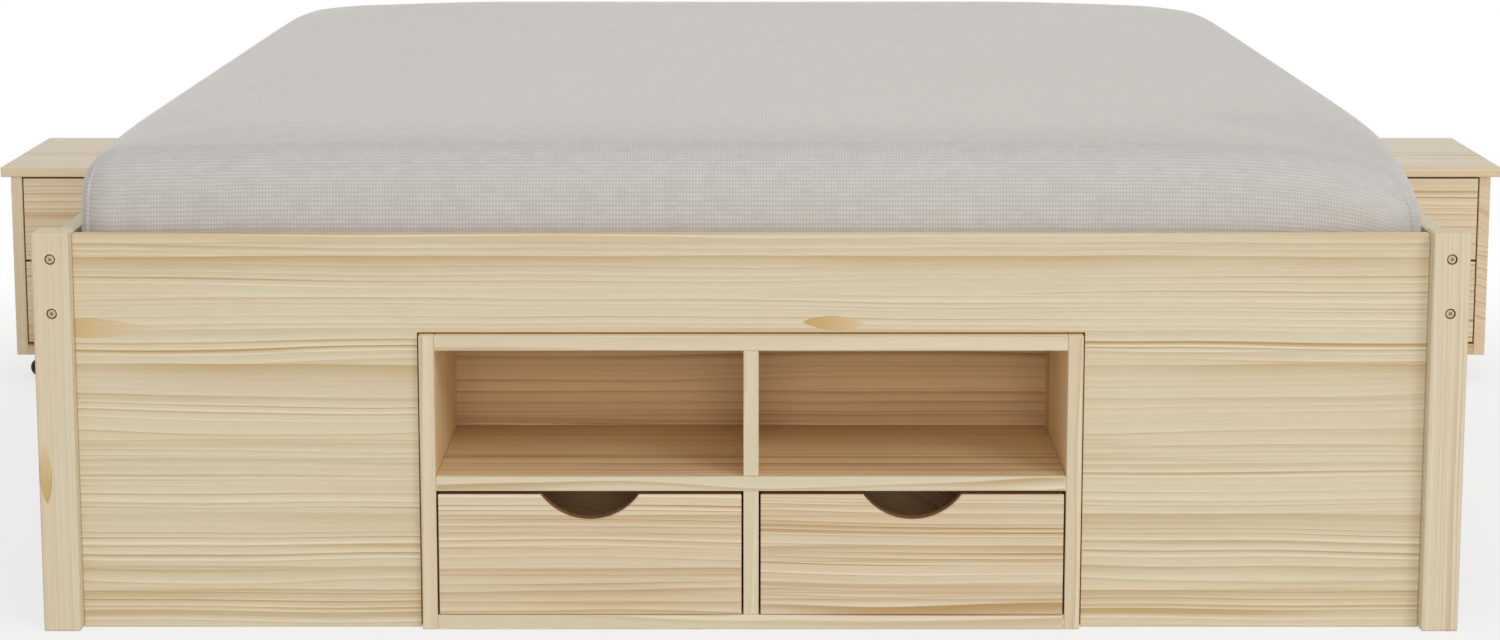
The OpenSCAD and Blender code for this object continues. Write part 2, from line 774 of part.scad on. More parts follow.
// Fork that swivels on the plate, and the axle riveted through its cheeks
module castor_fork() {
    cheek_gap = 2 * cheek_y;
    black_plastic() difference() {
        union() {
            translate([0, 0, crown_z]) cylinder(r = crown_r, h = crown_top_z - crown_z);
            for (y = [-cheek_y - cheek_t, cheek_y]) translate([0, y + cheek_t, 0])
                rotate([90, 0, 0]) linear_extrude(cheek_t) cheek_outline();
        }
        translate([0, 0, crown_z - cut])
            cylinder(r = kingpin_d / 2 + running, h = crown_top_z - crown_z + 2 * cut);
        translate([-castor_trail, 0, wheel_r])
            rod_y(axle_d / 2 + running, cheek_gap + 2 * cheek_t + 2 * cut);
    }
    steel() translate([-castor_trail, 0, wheel_r]) {
        rod_y(axle_d / 2, cheek_gap + 2 * cheek_t + 2 * fit_gap + rivet_h);
        for (y = [left, right]) translate([0, y * (cheek_y + cheek_t + fit_gap + rivet_h / 2), 0])
            rod_y(axle_d / 2 + 1.5, rivet_h);
    }
}

// Wheel with a rounded tread, a dished face and a hub
module castor_wheel() {
    black_plastic() translate([-castor_trail, 0, wheel_r]) rotate([90, 0, 0])
        rotate_extrude($fn = 64) difference() {
            union() {
                translate([0, -hub_w / 2]) square([axle_d / 2 + 2.5, hub_w]);
                translate([0, -wheel_w / 2 + 2]) square([wheel_r - 2, wheel_w - 4]);
                translate([wheel_r - 5, -wheel_w / 2]) rounded_rect([5, wheel_w], 2);
            }
            translate([-cut, -hub_w]) square([axle_d / 2 + running + cut, 2 * hub_w]);
        }
}

// ---------------------------------------------------------------- the bed

foot_post_left();
foot_post_right();
head_posts();
foot_panel();
head_panel();
side_rail_left();
side_rail_right();
slat_ledgers();
slats();
centre_beam();
centre_legs();
fixing_cleats();
frame_bolts();
barrel_nuts();
dowels();
mattress();
unit_sides();
unit_shelves();
unit_dividers();
unit_back();
foot_drawer_front(left);  // foot_drawer_left_front
foot_drawer_box(left);  // foot_drawer_left_box
foot_drawer_front(right);  // foot_drawer_right_front
foot_drawer_box(right);  // foot_drawer_right_box
stand_top(left);  // nightstand_left_top
stand_sides(left);  // nightstand_left_sides
stand_bottom(left);  // nightstand_left_bottom
stand_back(left);  // nightstand_left_back
stand_runners(left);  // nightstand_left_runners
castor_plates(left);  // nightstand_left_castor_plates
stand_drawer_front(left, upper_z);  // nightstand_left_upper_front
stand_drawer_box(left, upper_z);  // nightstand_left_upper_box
stand_drawer_front(left, lower_z);  // nightstand_left_lower_front
stand_drawer_box(left, lower_z);  // nightstand_left_lower_box
stand_top(right);  // nightstand_right_top
stand_sides(right);  // nightstand_right_sides
stand_bottom(right);  // nightstand_right_bottom
stand_back(right);  // nightstand_right_back
stand_runners(right);  // nightstand_right_runners
castor_plates(right);  // nightstand_right_castor_plates
stand_drawer_front(right, upper_z);  // nightstand_right_upper_front
stand_drawer_box(right, upper_z);  // nightstand_right_upper_box
stand_drawer_front(right, lower_z);  // nightstand_right_lower_front
stand_drawer_box(right, lower_z);  // nightstand_right_lower_box
castor_place(left, 1) castor_fork();  // castor_fork_left_1
castor_place(left, 2) castor_fork();  // castor_fork_left_2
castor_place(left, 3) castor_fork();  // castor_fork_left_3
castor_place(left, 4) castor_fork();  // castor_fork_left_4
castor_place(left, 1) castor_wheel();  // castor_wheel_left_1
castor_place(left, 2) castor_wheel();  // castor_wheel_left_2
castor_place(left, 3) castor_wheel();  // castor_wheel_left_3
castor_place(left, 4) castor_wheel();  // castor_wheel_left_4
castor_place(right, 1) castor_fork();  // castor_fork_right_1
castor_place(right, 2) castor_fork();  // castor_fork_right_2
castor_place(right, 3) castor_fork();  // castor_fork_right_3
castor_place(right, 4) castor_fork();  // castor_fork_right_4
castor_place(right, 1) castor_wheel();  // castor_wheel_right_1
castor_place(right, 2) castor_wheel();  // castor_wheel_right_2
castor_place(right, 3) castor_wheel();  // castor_wheel_right_3
castor_place(right, 4) castor_wheel();  // castor_wheel_right_4
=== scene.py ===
"""Visual model of a pine storage bed with two roll-out nightstands.

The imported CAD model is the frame, in metres, with +Z up and the foot end towards -Y. Its wooden,
steel and plastic solids stay and get their finishes here. The mattress is a soft piece of its own,
inflated by a cloth simulation, with the corner seams of its cover.
"""

import logging
import math
from dataclasses import dataclass, field
from enum import Enum

import bpy
import numpy as np
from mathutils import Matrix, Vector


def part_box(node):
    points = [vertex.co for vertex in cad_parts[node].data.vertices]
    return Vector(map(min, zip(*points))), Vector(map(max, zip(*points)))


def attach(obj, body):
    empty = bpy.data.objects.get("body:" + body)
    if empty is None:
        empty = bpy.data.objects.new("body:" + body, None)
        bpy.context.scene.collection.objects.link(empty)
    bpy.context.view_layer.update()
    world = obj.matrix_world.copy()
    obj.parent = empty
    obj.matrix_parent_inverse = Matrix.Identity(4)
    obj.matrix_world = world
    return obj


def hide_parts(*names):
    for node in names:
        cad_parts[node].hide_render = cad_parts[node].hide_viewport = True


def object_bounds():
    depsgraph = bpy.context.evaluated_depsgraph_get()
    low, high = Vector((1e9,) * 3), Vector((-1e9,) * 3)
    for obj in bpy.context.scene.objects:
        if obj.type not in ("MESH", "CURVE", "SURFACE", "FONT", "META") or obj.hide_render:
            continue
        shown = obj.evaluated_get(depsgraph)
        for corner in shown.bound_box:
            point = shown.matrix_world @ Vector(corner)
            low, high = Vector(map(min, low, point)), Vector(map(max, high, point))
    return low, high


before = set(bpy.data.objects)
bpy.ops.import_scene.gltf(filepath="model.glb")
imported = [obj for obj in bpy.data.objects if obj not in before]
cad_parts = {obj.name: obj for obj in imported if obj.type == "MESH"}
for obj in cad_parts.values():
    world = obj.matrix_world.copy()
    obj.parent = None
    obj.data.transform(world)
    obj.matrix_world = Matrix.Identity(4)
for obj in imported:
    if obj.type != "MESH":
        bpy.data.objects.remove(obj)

CAD_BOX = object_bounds()
LOG = logging.getLogger("bed")
PATTERN = "pattern"

Colour = tuple[float, float, float, float]
Socket = bpy.types.NodeSocket


def paint(red: int, green: int, blue: int) -> Colour:
    """Turn a screen colour into the linear one that a shader takes.

    Args:
        red: Red, 0 to 255.
        green: Green, 0 to 255.
        blue: Blue, 0 to 255.

    Returns:
        The linear colour with an alpha of 1.
    """
    screen = np.array([red, green, blue]) / 255.0
    low = screen / 12.92
    high = ((screen + 0.055) / 1.055) ** 2.4
    return (*(float(v) for v in np.where(screen <= 0.04045, low, high)), 1.0)


class Axis(Enum):
    """A direction of the frame."""

    X = 0
    Y = 1
    Z = 2


class Side(Enum):
    """A side of the bed, seen from its foot end. The value is the sign of X."""

    LEFT = -1
    RIGHT = 1

    @property
    def word(self) -> str:
        """The side as it stands in the names of nodes."""
        return self.name.lower()


class Graph:
    """The node tree of one material, with short calls for the nodes that this scene uses."""

    def __init__(self, name: str) -> None:
        """Make a material with an empty Principled shader.

        Args:
            name: The material's name.
        """
        self.material = bpy.data.materials.new(name)
        self.material.use_nodes = True
        self.nodes = self.material.node_tree.nodes
        self.links = self.material.node_tree.links
        self.shader = self.nodes["Principled BSDF"]

    def node(self, kind: str, inputs: dict, **settings: object) -> bpy.types.Node:
        """Add a node.

        Args:
            kind: The node's type, without its ShaderNode prefix.
            inputs: Values or sockets for its inputs, by name or number.
            **settings: Properties of the node.

        Returns:
            The node.
        """
        node = self.nodes.new("ShaderNode" + kind)
        for key, value in settings.items():
            setattr(node, key, value)
        for key, value in inputs.items():
            self.feed(node.inputs[key], value)
        return node

    def feed(self, socket: Socket, value: object) -> None:
        """Link a socket to an input, or write a plain value into it.

        Args:
            socket: The input.
            value: A socket, a number, a vector or a colour.
        """
        if isinstance(value, Socket):
            self.links.new(value, socket)
        else:
            socket.default_value = value

    def maths(self, operation: str, *values: object) -> Socket:
        """Return the result of a Math node with one to three inputs."""
        return self.node("Math", dict(enumerate(values)), operation=operation).outputs[0]

    def stretch(self, *pairs: tuple[Socket, float]) -> list[Socket]:
        """Multiply each socket by the factor beside it."""
        return [self.maths("MULTIPLY", socket, factor) for socket, factor in pairs]

    def length(self, x: Socket, y: Socket) -> Socket:
        """Return the length of a flat vector."""
        squares = self.maths("MULTIPLY", x, x), self.maths("MULTIPLY", y, y)
        return self.maths("SQRT", self.maths("ADD", *squares))

    def vector(self, x: object, y: object, z: object) -> Socket:
        """Join three numbers into a vector."""
        return self.node("CombineXYZ", {0: x, 1: y, 2: z}).outputs[0]

    def axes(self, vector: Socket) -> list[Socket]:
        """Split a vector into its three numbers."""
        return list(self.node("SeparateXYZ", {0: vector}).outputs)

    def place(self) -> list[Socket]:
        """Return the object's own coordinates, which are those of the frame."""
        return self.axes(self.node("TexCoord", {}).outputs["Object"])

    def noise(self, vector: Socket, detail: float = 1.0, roughness: float = 0.5) -> Socket:
        """Return smooth noise from 0 to 1 with a wavelength of about 1 in the vector's units."""
        inputs = {"Vector": vector, "Scale": 1.0, "Detail": detail, "Roughness": roughness}
        return self.node("TexNoise", inputs, noise_dimensions="3D").outputs[0]

    def chance(self, vector: Socket) -> list[Socket]:
        """Return three random numbers from 0 to 1 that depend on the vector alone."""
        out = self.node("TexWhiteNoise", {"Vector": vector}, noise_dimensions="3D").outputs["Color"]
        return self.axes(out)

    def step(self, value: Socket, start: object, end: object, low: float = 0.0,
             high: float = 1.0) -> Socket:
        """Ease from low to high while the value goes from start to end."""
        inputs = {"Value": value, "From Min": start, "From Max": end, "To Min": low, "To Max": high}
        return self.node("MapRange", inputs, interpolation_type="SMOOTHSTEP").outputs[0]

    def blend(self, share: object, first: object, second: object, how: str = "MIX") -> Socket:
        """Mix two colours.

        Args:
            share: How much of the second colour shows, 0 to 1.
            first: The lower colour.
            second: The upper colour.
            how: The blend type.

        Returns:
            The mixed colour.
        """
        node = self.node("Mix", {0: share, 6: first, 7: second}, data_type="RGBA", blend_type=how)
        return node.outputs[2]

    def surface(self, inputs: dict[str, object]) -> None:
        """Feed inputs of the shader by their names."""
        for key, value in inputs.items():
            self.feed(self.shader.inputs[key], value)

    def bump(self, height: Socket, depth: float) -> None:
        """Give the shader a relief.

        Args:
            height: The height, 0 to 1.
            depth: What a height of 1 is in metres.
        """
        node = self.node("Bump", {"Height": height, "Distance": depth, "Strength": 1.0})
        self.links.new(node.outputs[0], self.shader.inputs["Normal"])


@dataclass(frozen=True)
class Knot:
    """The slanting cut through a branch, as a tan lens with a darker rim.

    Places are metres in the frame, along and across the grain.
    """

    along: float
    across: float
    length: float
    width: float
    strength: float = 1.0


@dataclass(frozen=True)
class Streak:
    """A golden line of late wood that runs the whole length of a board.

    Its upper edge is sharp and it fades downwards. bow lifts its middle.
    """

    across: float
    fade: float
    strength: float
    bow: float = 0.0


class Tone(Enum):
    """The colours of a pine board: new early wood, pale and rosy early wood, and late wood.

    SHOWN is for the frame, FRONT and WARM for drawer fronts and TOP for the nightstands' tops.
    The rest are painted shade: copies of the pine, more golden and mostly darker, that stand in
    for shade and for warm light bounced round inside. EDGE_SHADE is for the cut edges of drawer
    fronts, INNER for boards out of the light, NICHE_SHADE for faces inside the unit and
    BOX for drawer boxes.
    """

    SHOWN = (paint(236, 223, 197), paint(221, 209, 180), paint(222, 206, 175), paint(189, 157, 102))
    FRONT = (paint(237, 222, 196), paint(222, 206, 176), paint(222, 202, 169), paint(184, 144, 86))
    WARM = (paint(247, 228, 197), paint(234, 215, 181), paint(234, 209, 173), paint(202, 160, 102))
    # Painted shade: a much darker copy of the pine for the cut edges of the drawer fronts, which lie in the
    # gaps and the half-moon grips.
    EDGE_SHADE = (paint(176, 134, 92), paint(166, 124, 82), paint(164, 120, 78), paint(140, 96, 56))
    TOP = (paint(241, 229, 210), paint(231, 218, 197), paint(232, 216, 194), paint(204, 178, 138))
    # Painted shade: a warmer, darker copy of the pine for boards out of the light.
    INNER = (paint(231, 202, 158), paint(224, 190, 144), paint(221, 184, 137), paint(164, 114, 68))
    # Painted shade: a warmer, more golden copy of the pine for faces inside the niches, standing in for
    # their shade and the warm light bounced round them.
    NICHE_SHADE = (paint(247, 227, 185), paint(242, 218, 172), paint(240, 211, 164), paint(182, 134, 87))
    # Painted shade: an orange copy of the pine for drawer boxes, standing in for the warm shade seen inside
    # them.
    BOX = (paint(240, 200, 150), paint(236, 190, 139), paint(234, 184, 132), paint(202, 148, 98))


@dataclass(frozen=True)
class Pine:
    """Pine, cut from a log whose growth rings are worked out in space.

    A point's ring is its distance from the pith, a line along the grain that wanders slowly and
    lies just behind the board. So faces show long streaks, edges straight lines and ends arcs.
    A board glued from strips, or one of several alike in a node, has its own pith in each.
    Where inner_from is set, faces that lie further back than that Y have the tone behind. On the
    unit, the foot panel and the drawer fronts that tone is painted shade.

    The pith lies pith_below beside a board's middle and pith_behind at its back. Luck adds up to
    pith_spread and pith_depth to them, and moves the pattern along the grain by up to shift.
    """

    name: str
    along: Axis
    across: Axis
    seed: float
    strip: float = 0.0
    strip_from: float = 0.0
    layer: float = 0.0
    layer_from: float = 0.0
    tone: Tone = Tone.SHOWN
    knots: tuple[Knot, ...] = ()
    streaks: tuple[Streak, ...] = ()
    ring: float = 0.0074
    pith_below: float = -0.125
    pith_spread: float = 0.07
    pith_behind: float = 0.022
    pith_depth: float = 0.05
    wander_side: float = 0.03
    wander_behind: float = 0.018
    uneven: float = 2.6
    shift: float = 17.0
    relief: float = 0.00006
    inner_ease: float = 0.002
    inner_from: float | None = None
    behind: Tone = Tone.NICHE_SHADE
    contrast: float = 1.0

    def cell(self, g: Graph, place: Socket, pitch: float, origin: float,
             middle: float) -> tuple[object, Socket]:
        """Find the board or strip that a coordinate lies in.

        Args:
            g: The material's graph.
            place: The coordinate.
            pitch: The distance from one board to the next, or 0 for one board.
            origin: Where the first board's cell begins.
            middle: The middle of the only board.

        Returns:
            The board's number and the distance from its middle.
        """
        if not pitch:
            return 0.0, g.maths("SUBTRACT", place, middle)
        scaled = g.maths("DIVIDE", g.maths("SUBTRACT", place, origin), pitch)
        number = g.maths("FLOOR", scaled)
        part = g.maths("SUBTRACT", g.maths("SUBTRACT", scaled, number), 0.5)
        return number, g.maths("MULTIPLY", part, pitch)

    def material(self, node: str) -> bpy.types.Material:
        """Build the finish for one CAD node.

        Args:
            node: The node, whose box centres the rings.

        Returns:
            The material.
        """
        g = Graph(self.name)
        low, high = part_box(node)
        middle = (low + high) / 2
        place = g.place()
        rest = ({0, 1, 2} - {self.along.value, self.across.value}).pop()
        run, wide, deep = place[self.along.value], place[self.across.value], place[rest]
        strip, across = self.cell(g, wide, self.strip, self.strip_from, middle[self.across.value])
        layer, depth = self.cell(g, deep, self.layer, self.layer_from, middle[rest])
        luck = g.chance(g.vector(strip, layer, self.seed))
        run_at = g.maths("MULTIPLY_ADD", luck[0], self.shift, run)
        ring, warp = self.rings(g, run_at, across, depth, luck)
        line, fresh = self.late_wood(g, ring, run_at, luck)
        share = self.bands(g, line, ring, run_at, luck)
        for streak in self.streaks:
            share = g.maths("MAXIMUM", share, self.streak(g, streak, run, wide, warp))
        broad = g.noise(g.vector(*g.stretch((run_at, 1.6), (across, 30.0), (luck[1], 9.0))), 2.0)
        colour = self.tint(g, self.tone, fresh, broad, share)
        # Faces behind inner_from take the tone behind, which on the unit, the foot panel and the drawer
        # fronts is painted shade.
        if self.inner_from is not None:
            inside = g.step(place[1], self.inner_from, self.inner_from + self.inner_ease)
            colour = g.blend(inside, colour, self.tint(g, self.behind, fresh, broad, share))
        for knot in self.knots:
            colour = self.knot(g, knot, run, wide, warp, colour)
        fibre = g.noise(g.vector(*g.stretch((run_at, 22.0), (across, 900.0), (depth, 900.0))), 2.0, 0.6)
        light = g.step(fibre, 0.2, 0.8, 0.96, 1.04)
        colour = g.blend(1.0, colour, g.vector(light, light, light), "MULTIPLY")
        g.surface({"Base Color": colour, "Roughness": g.step(share, 0.0, 1.0, 0.62, 0.5),
                   "Specular IOR Level": 0.3})
        g.bump(g.maths("MULTIPLY_ADD", share, 0.5, g.maths("MULTIPLY", fibre, 0.5)), self.relief)
        return g.material

    def tint(self, g: Graph, tone: Tone, fresh: Socket, broad: Socket, share: Socket) -> Socket:
        """Colour the wood.

        Args:
            g: The material's graph.
            tone: The board's colours.
            fresh: How newly a ring began, which is where wood is palest.
            broad: Slow noise that turns early wood from pale to rosy.
            share: How much late wood shows.

        Returns:
            The colour.
        """
        new, pale, rosy, gold = tone.value
        early = g.blend(g.step(broad, 0.35, 0.65), pale, rosy)
        return g.blend(share, g.blend(fresh, early, new), gold)

    def rings(self, g: Graph, run: Socket, across: Socket, depth: Socket,
              luck: list[Socket]) -> tuple[Socket, Socket]:
        """Count the growth rings.

        Args:
            g: The material's graph.
            run: The place along the grain.
            across: The distance from the board's middle across the grain.
            depth: The distance from its middle in the third direction.
            luck: The board's random numbers.

        Returns:
            The number of rings out from the pith, and the slow wander of the grain.
        """
        slow = g.vector(*g.stretch((run, 1.1), (across, 4.0), (luck[2], 11.0)))
        warp = g.maths("SUBTRACT", g.noise(slow, 2.0), 0.5)
        off = g.maths("MULTIPLY_ADD", luck[1], self.pith_spread, self.pith_below)
        side = g.maths("MULTIPLY_ADD", warp, self.wander_side, g.maths("SUBTRACT", across, off))
        back = g.maths("MULTIPLY_ADD", luck[2], self.pith_depth, self.pith_behind)
        behind = g.maths("MULTIPLY_ADD", warp, self.wander_behind, g.maths("ADD", depth, back))
        radius = g.length(side, behind)
        count = g.maths("DIVIDE", radius, self.ring)
        wave = g.noise(g.vector(g.maths("MULTIPLY", radius, 70.0), self.seed, 0.0))
        return g.maths("MULTIPLY_ADD", wave, self.uneven, count), warp

    def late_wood(self, g: Graph, ring: Socket, run: Socket,
                  luck: list[Socket]) -> tuple[Socket, Socket]:
        """Draw the line of late wood in each ring.

        With p the part of the ring from 0 at its inner side to 1, late wood rises from
        p = 0.97 - w to p = 0.95 and falls off sharply towards p = 1. Each ring has its own w and
        strength, which also drift along the board, so that its line swells and thins.

        Args:
            g: The material's graph.
            ring: The number of rings out from the pith.
            run: The place along the grain.
            luck: The board's random numbers.

        Returns:
            How much late wood shows, and how near the ring's pale beginning lies.
        """
        whole, part = g.maths("FLOOR", ring), g.maths("FRACT", ring)
        own = g.chance(g.vector(whole, self.seed, luck[0]))
        drift = g.noise(g.vector(*g.stretch((run, 1.9), (whole, 5.3)), 0.0))
        swell = g.step(drift, 0.3, 0.7, 0.45, 1.45)
        width = g.maths("MULTIPLY_ADD", g.maths("POWER", own[1], 2.0), 0.5, 0.17)
        width = g.maths("MULTIPLY", width, swell)
        rise = g.step(part, g.maths("SUBTRACT", 0.97, width), 0.95)
        edge = g.step(part, 0.95, 1.0, 1.0, 0.0)
        strength = g.maths("MULTIPLY_ADD", g.maths("POWER", own[0], 1.2), 0.85, 0.25)
        calm = g.noise(g.vector(*g.stretch((whole, 0.19), (run, 0.4), (luck[2], 7.0))))
        zone = g.step(calm, 0.36, 0.56, 0.25 * self.contrast, self.contrast)
        strength = g.maths("MULTIPLY", strength, zone)
        strength = g.maths("MULTIPLY", strength, g.step(drift, 0.25, 0.6, 0.45, 1.0))
        line = g.maths("MULTIPLY", g.maths("MULTIPLY", rise, edge), strength)
        fresh = g.maths("MULTIPLY", g.step(part, 0.5, 0.0), g.maths("ADD", strength, 0.15))
        return line, fresh

    def bands(self, g: Graph, line: Socket, ring: Socket, run: Socket, luck: list[Socket]) -> Socket:
        """Add broad golden bands, a few rings wide.

        Args:
            g: The material's graph.
            line: How much late wood the rings' own lines show.
            ring: The number of rings out from the pith.
            run: The place along the grain.
            luck: The board's random numbers.

        Returns:
            How much late wood shows with the bands.
        """
        wave = g.noise(g.vector(*g.stretch((ring, 0.27), (run, 0.6), (luck[1], 5.0))))
        grown = g.step(g.maths("FRACT", ring), 0.0, 0.6, 0.4, 1.0)
        band = g.maths("MULTIPLY", g.step(wave, 0.6, 0.78, 0.0, 0.55 * self.contrast), grown)
        return g.maths("MAXIMUM", line, band)

    def streak(self, g: Graph, streak: Streak, run: Socket, wide: Socket, warp: Socket) -> Socket:
        """Draw one streak.

        With d the distance below its upper edge in units of its fade, the strength is
        exp(-d), cut off above the edge. Fade and strength drift along the board.

        Args:
            g: The material's graph.
            streak: The streak.
            run: The place along the grain.
            wide: The place across the grain.
            warp: The slow wander of the grain.

        Returns:
            How much late wood the streak shows.
        """
        arch = g.maths("COSINE", g.maths("MULTIPLY", run, 5.7))
        edge = g.maths("MULTIPLY_ADD", arch, streak.bow, streak.across)
        small = g.noise(g.vector(g.maths("MULTIPLY", run, 5.0), streak.across * 53.0, self.seed), 1.0)
        edge = g.maths("MULTIPLY_ADD", warp, 0.008, g.maths("MULTIPLY_ADD", small, 0.004, edge))
        vary = g.noise(g.vector(g.maths("MULTIPLY", run, 2.4), streak.across * 97.0, self.seed))
        fade = g.step(vary, 0.25, 0.75, 0.5 * streak.fade, 1.3 * streak.fade)
        below = g.maths("SUBTRACT", edge, wide)
        cut = g.step(below, -0.0004, 0.0006)
        depth = g.maths("DIVIDE", g.maths("MAXIMUM", below, 0.0), fade)
        level = g.step(vary, 0.25, 0.7, 0.5 * streak.strength, streak.strength)
        decay = g.maths("EXPONENT", g.maths("MULTIPLY", depth, -1.0))
        return g.maths("MULTIPLY", g.maths("MULTIPLY", cut, decay), level)

    def knot(self, g: Graph, knot: Knot, run: Socket, wide: Socket, warp: Socket,
             under: Socket) -> Socket:
        """Lay one knot over a colour: tan inside a pointed ellipse, darker at its rim.

        Args:
            g: The material's graph.
            knot: The knot.
            run: The place along the grain.
            wide: The place across the grain.
            warp: The slow wander of the grain.
            under: The colour round the knot.

        Returns:
            The colour with the knot.
        """
        x = g.maths("DIVIDE", g.maths("SUBTRACT", run, knot.along), knot.length)
        y = g.maths("DIVIDE", g.maths("SUBTRACT", wide, knot.across), knot.width)
        y = g.maths("MULTIPLY_ADD", x, 0.18, g.maths("MULTIPLY_ADD", warp, 0.9, y))
        pointed = g.maths("MULTIPLY_ADD", g.maths("ABSOLUTE", x), 0.35, g.maths("ABSOLUTE", y))
        far = g.length(x, pointed)
        soft = g.step(x, -0.6, 1.0, 0.05, 0.3)
        inside = g.step(far, 1.02, g.maths("SUBTRACT", 1.0, soft))
        rim = g.maths("MULTIPLY", g.step(far, 0.78, 0.96), g.step(y, -0.5, 0.5, 0.25, 1.0))
        tan = g.blend(g.step(x, -0.6, 1.0), paint(208, 176, 118), paint(222, 199, 160))
        core = g.blend(g.maths("MULTIPLY", rim, g.step(x, 0.9, 0.0, 0.2, 0.8)), tan, paint(190, 156, 108))
        return g.blend(g.maths("MULTIPLY", inside, knot.strength), under, core)


@dataclass(frozen=True)
class Steel:
    """Yellow zinc steel with fine scratches round its parts.

    The sockets and rims of the bolt heads lie deeper in the posts than their faces, and there
    the steel is painted darker: painted shade in the bolt holes. mouth and floor hold between
    which distances from the middle of the bed this painted shade begins and ends.
    """

    name: str = "zinc_steel"
    mouth: tuple[float, float] = (1.0411, 1.0408)
    floor: tuple[float, float] = (1.02, 1.021)
    relief: float = 0.00003

    def material(self) -> bpy.types.Material:
        """Build the finish."""
        g = Graph(self.name)
        x, y, z = g.place()
        grain = g.noise(g.vector(*g.stretch((x, 260.0), (y, 260.0), (z, 900.0))), 3.0, 0.7)
        colour = g.blend(grain, paint(196, 184, 156), paint(172, 158, 126))
        far = g.maths("ABSOLUTE", y)
        # Painted shade: steel that lies deep in a bolt hole is painted darker.
        recess_shade = g.maths("MULTIPLY", g.step(far, *self.mouth), g.step(far, *self.floor))
        colour = g.blend(recess_shade, colour, paint(156, 136, 102))
        g.surface({"Base Color": colour, "Metallic": 1.0, "Roughness": g.step(grain, 0.2, 0.8, 0.3, 0.48)})
        g.bump(grain, self.relief)
        return g.material


@dataclass(frozen=True)
class Plastic:
    """Black moulded plastic with a fine spark-eroded grain."""

    name: str = "black_plastic"
    grain_scale: float = 1500.0
    relief: float = 0.00004

    def material(self) -> bpy.types.Material:
        """Build the finish."""
        g = Graph(self.name)
        place = g.stretch(*((axis, self.grain_scale) for axis in g.place()))
        grain = g.noise(g.vector(*place), 2.0, 0.6)
        g.surface({"Base Color": g.blend(grain, paint(16, 16, 17), paint(34, 34, 35)),
                   "Roughness": g.step(grain, 0.2, 0.8, 0.42, 0.56)})
        g.bump(grain, self.relief)
        return g.material


@dataclass(frozen=True)
class Knit:
    """Grey knitted cover cloth.

    Ribs run both ways in the cover's flat pattern, which the UV map holds in metres. Their
    depth comes and goes over a few centimetres, as in a waffle knit under light tension.
    """

    name: str = "mattress_cover"
    rib_across: float = 0.0036
    rib_down: float = 0.0055
    course_wander: float = 0.0016
    relief: float = 0.00035

    def wave(self, g: Graph, place: Socket, pitch: float) -> Socket:
        """Return a rib: half of 1 minus the cosine of the place over its pitch."""
        turn = g.maths("MULTIPLY", place, 2.0 * math.pi / pitch)
        return g.maths("MULTIPLY_ADD", g.maths("COSINE", turn), -0.5, 0.5)

    def material(self) -> bpy.types.Material:
        """Build the finish."""
        g = Graph(self.name)
        u, v, _ = g.axes(g.node("UVMap", {}, uv_map=PATTERN).outputs[0])
        soft = g.noise(g.vector(*g.stretch((u, 38.0), (v, 38.0)), 0.0), 2.0)
        wander = g.maths("MULTIPLY_ADD", soft, self.course_wander, v)
        rib = self.wave(g, u, self.rib_across)
        course = self.wave(g, wander, self.rib_down)
        yarn = g.noise(g.vector(*g.stretch((u, 900.0), (v, 420.0)), 3.0), 2.0, 0.7)
        cell = g.chance(g.vector(g.maths("FLOOR", g.maths("DIVIDE", u, 4.0 * self.rib_across)),
                                 g.maths("FLOOR", g.maths("DIVIDE", wander, self.rib_down)), 5.0))
        rib = g.maths("MULTIPLY", rib, g.maths("MULTIPLY_ADD", cell[0], 0.5, 0.7))
        course = g.maths("MULTIPLY", course, g.maths("MULTIPLY_ADD", cell[1], 0.5, 0.7))
        relief = g.maths("MULTIPLY_ADD", rib, 0.5, g.maths("MULTIPLY", course, 0.5))
        relief = g.maths("MULTIPLY_ADD", yarn, 0.35, relief)
        depth = g.step(soft, 0.25, 0.75, 0.7, 1.0)
        relief = g.maths("MULTIPLY", relief, depth)
        # Painted shade and highlight: the colour follows the relief, darker in the knit's hollows and
        # lighter on its ridges.
        colour = g.blend(g.step(relief, 0.1, 1.1), paint(192, 189, 184), paint(215, 212, 207))
        broad = g.noise(g.vector(*g.stretch((u, 2.6), (v, 2.6)), 7.0), 2.0)
        light = g.step(broad, 0.25, 0.75, 0.985, 1.015)
        colour = g.blend(1.0, colour, g.vector(light, light, light), "MULTIPLY")
        g.surface({"Base Color": colour, "Roughness": 0.92, "Specular IOR Level": 0.2,
                   "Sheen Weight": 0.5, "Sheen Tint": paint(255, 250, 243), "Sheen Roughness": 0.5})
        g.bump(relief, self.relief)
        return g.material


def solid(name: str, points: np.ndarray, quads: np.ndarray, pattern: np.ndarray | None = None,
          ends: list[np.ndarray] | None = None) -> bpy.types.Object:
    """Put whole arrays into a new mesh object at the origin.

    Args:
        name: The object's name.
        points: Vertices, n by 3.
        quads: Four vertex numbers a face, m by 4.
        pattern: UV of each corner of each face, in the order of the faces.
        ends: Polygons that close the ends, as vertex numbers.

    Returns:
        The object.
    """
    mesh = bpy.data.meshes.new(name)
    faces = quads.tolist() + [end.tolist() for end in ends or []]
    mesh.from_pydata(points.tolist(), [], faces)
    if pattern is not None:
        layer = mesh.uv_layers.new(name=PATTERN)
        layer.data.foreach_set("uv", pattern.astype(np.float32).ravel())
    mesh.polygons.foreach_set("use_smooth", np.ones(len(faces), bool))
    mesh.update()
    piece = bpy.data.objects.new(name, mesh)
    bpy.context.scene.collection.objects.link(piece)
    return piece


def coordinates(mesh: bpy.types.Mesh, what: str = "co") -> np.ndarray:
    """Read the places or the normals of a mesh's vertices.

    Args:
        mesh: The mesh.
        what: Either "co" or "normal".

    Returns:
        One row a vertex, n by 3.
    """
    out = np.empty(len(mesh.vertices) * 3)
    mesh.vertices.foreach_get(what, out)
    return out.reshape(-1, 3)


def unit(vectors: np.ndarray) -> np.ndarray:
    """Scale rows to length 1."""
    return vectors / np.maximum(np.linalg.norm(vectors, axis=-1, keepdims=True), 1e-12)


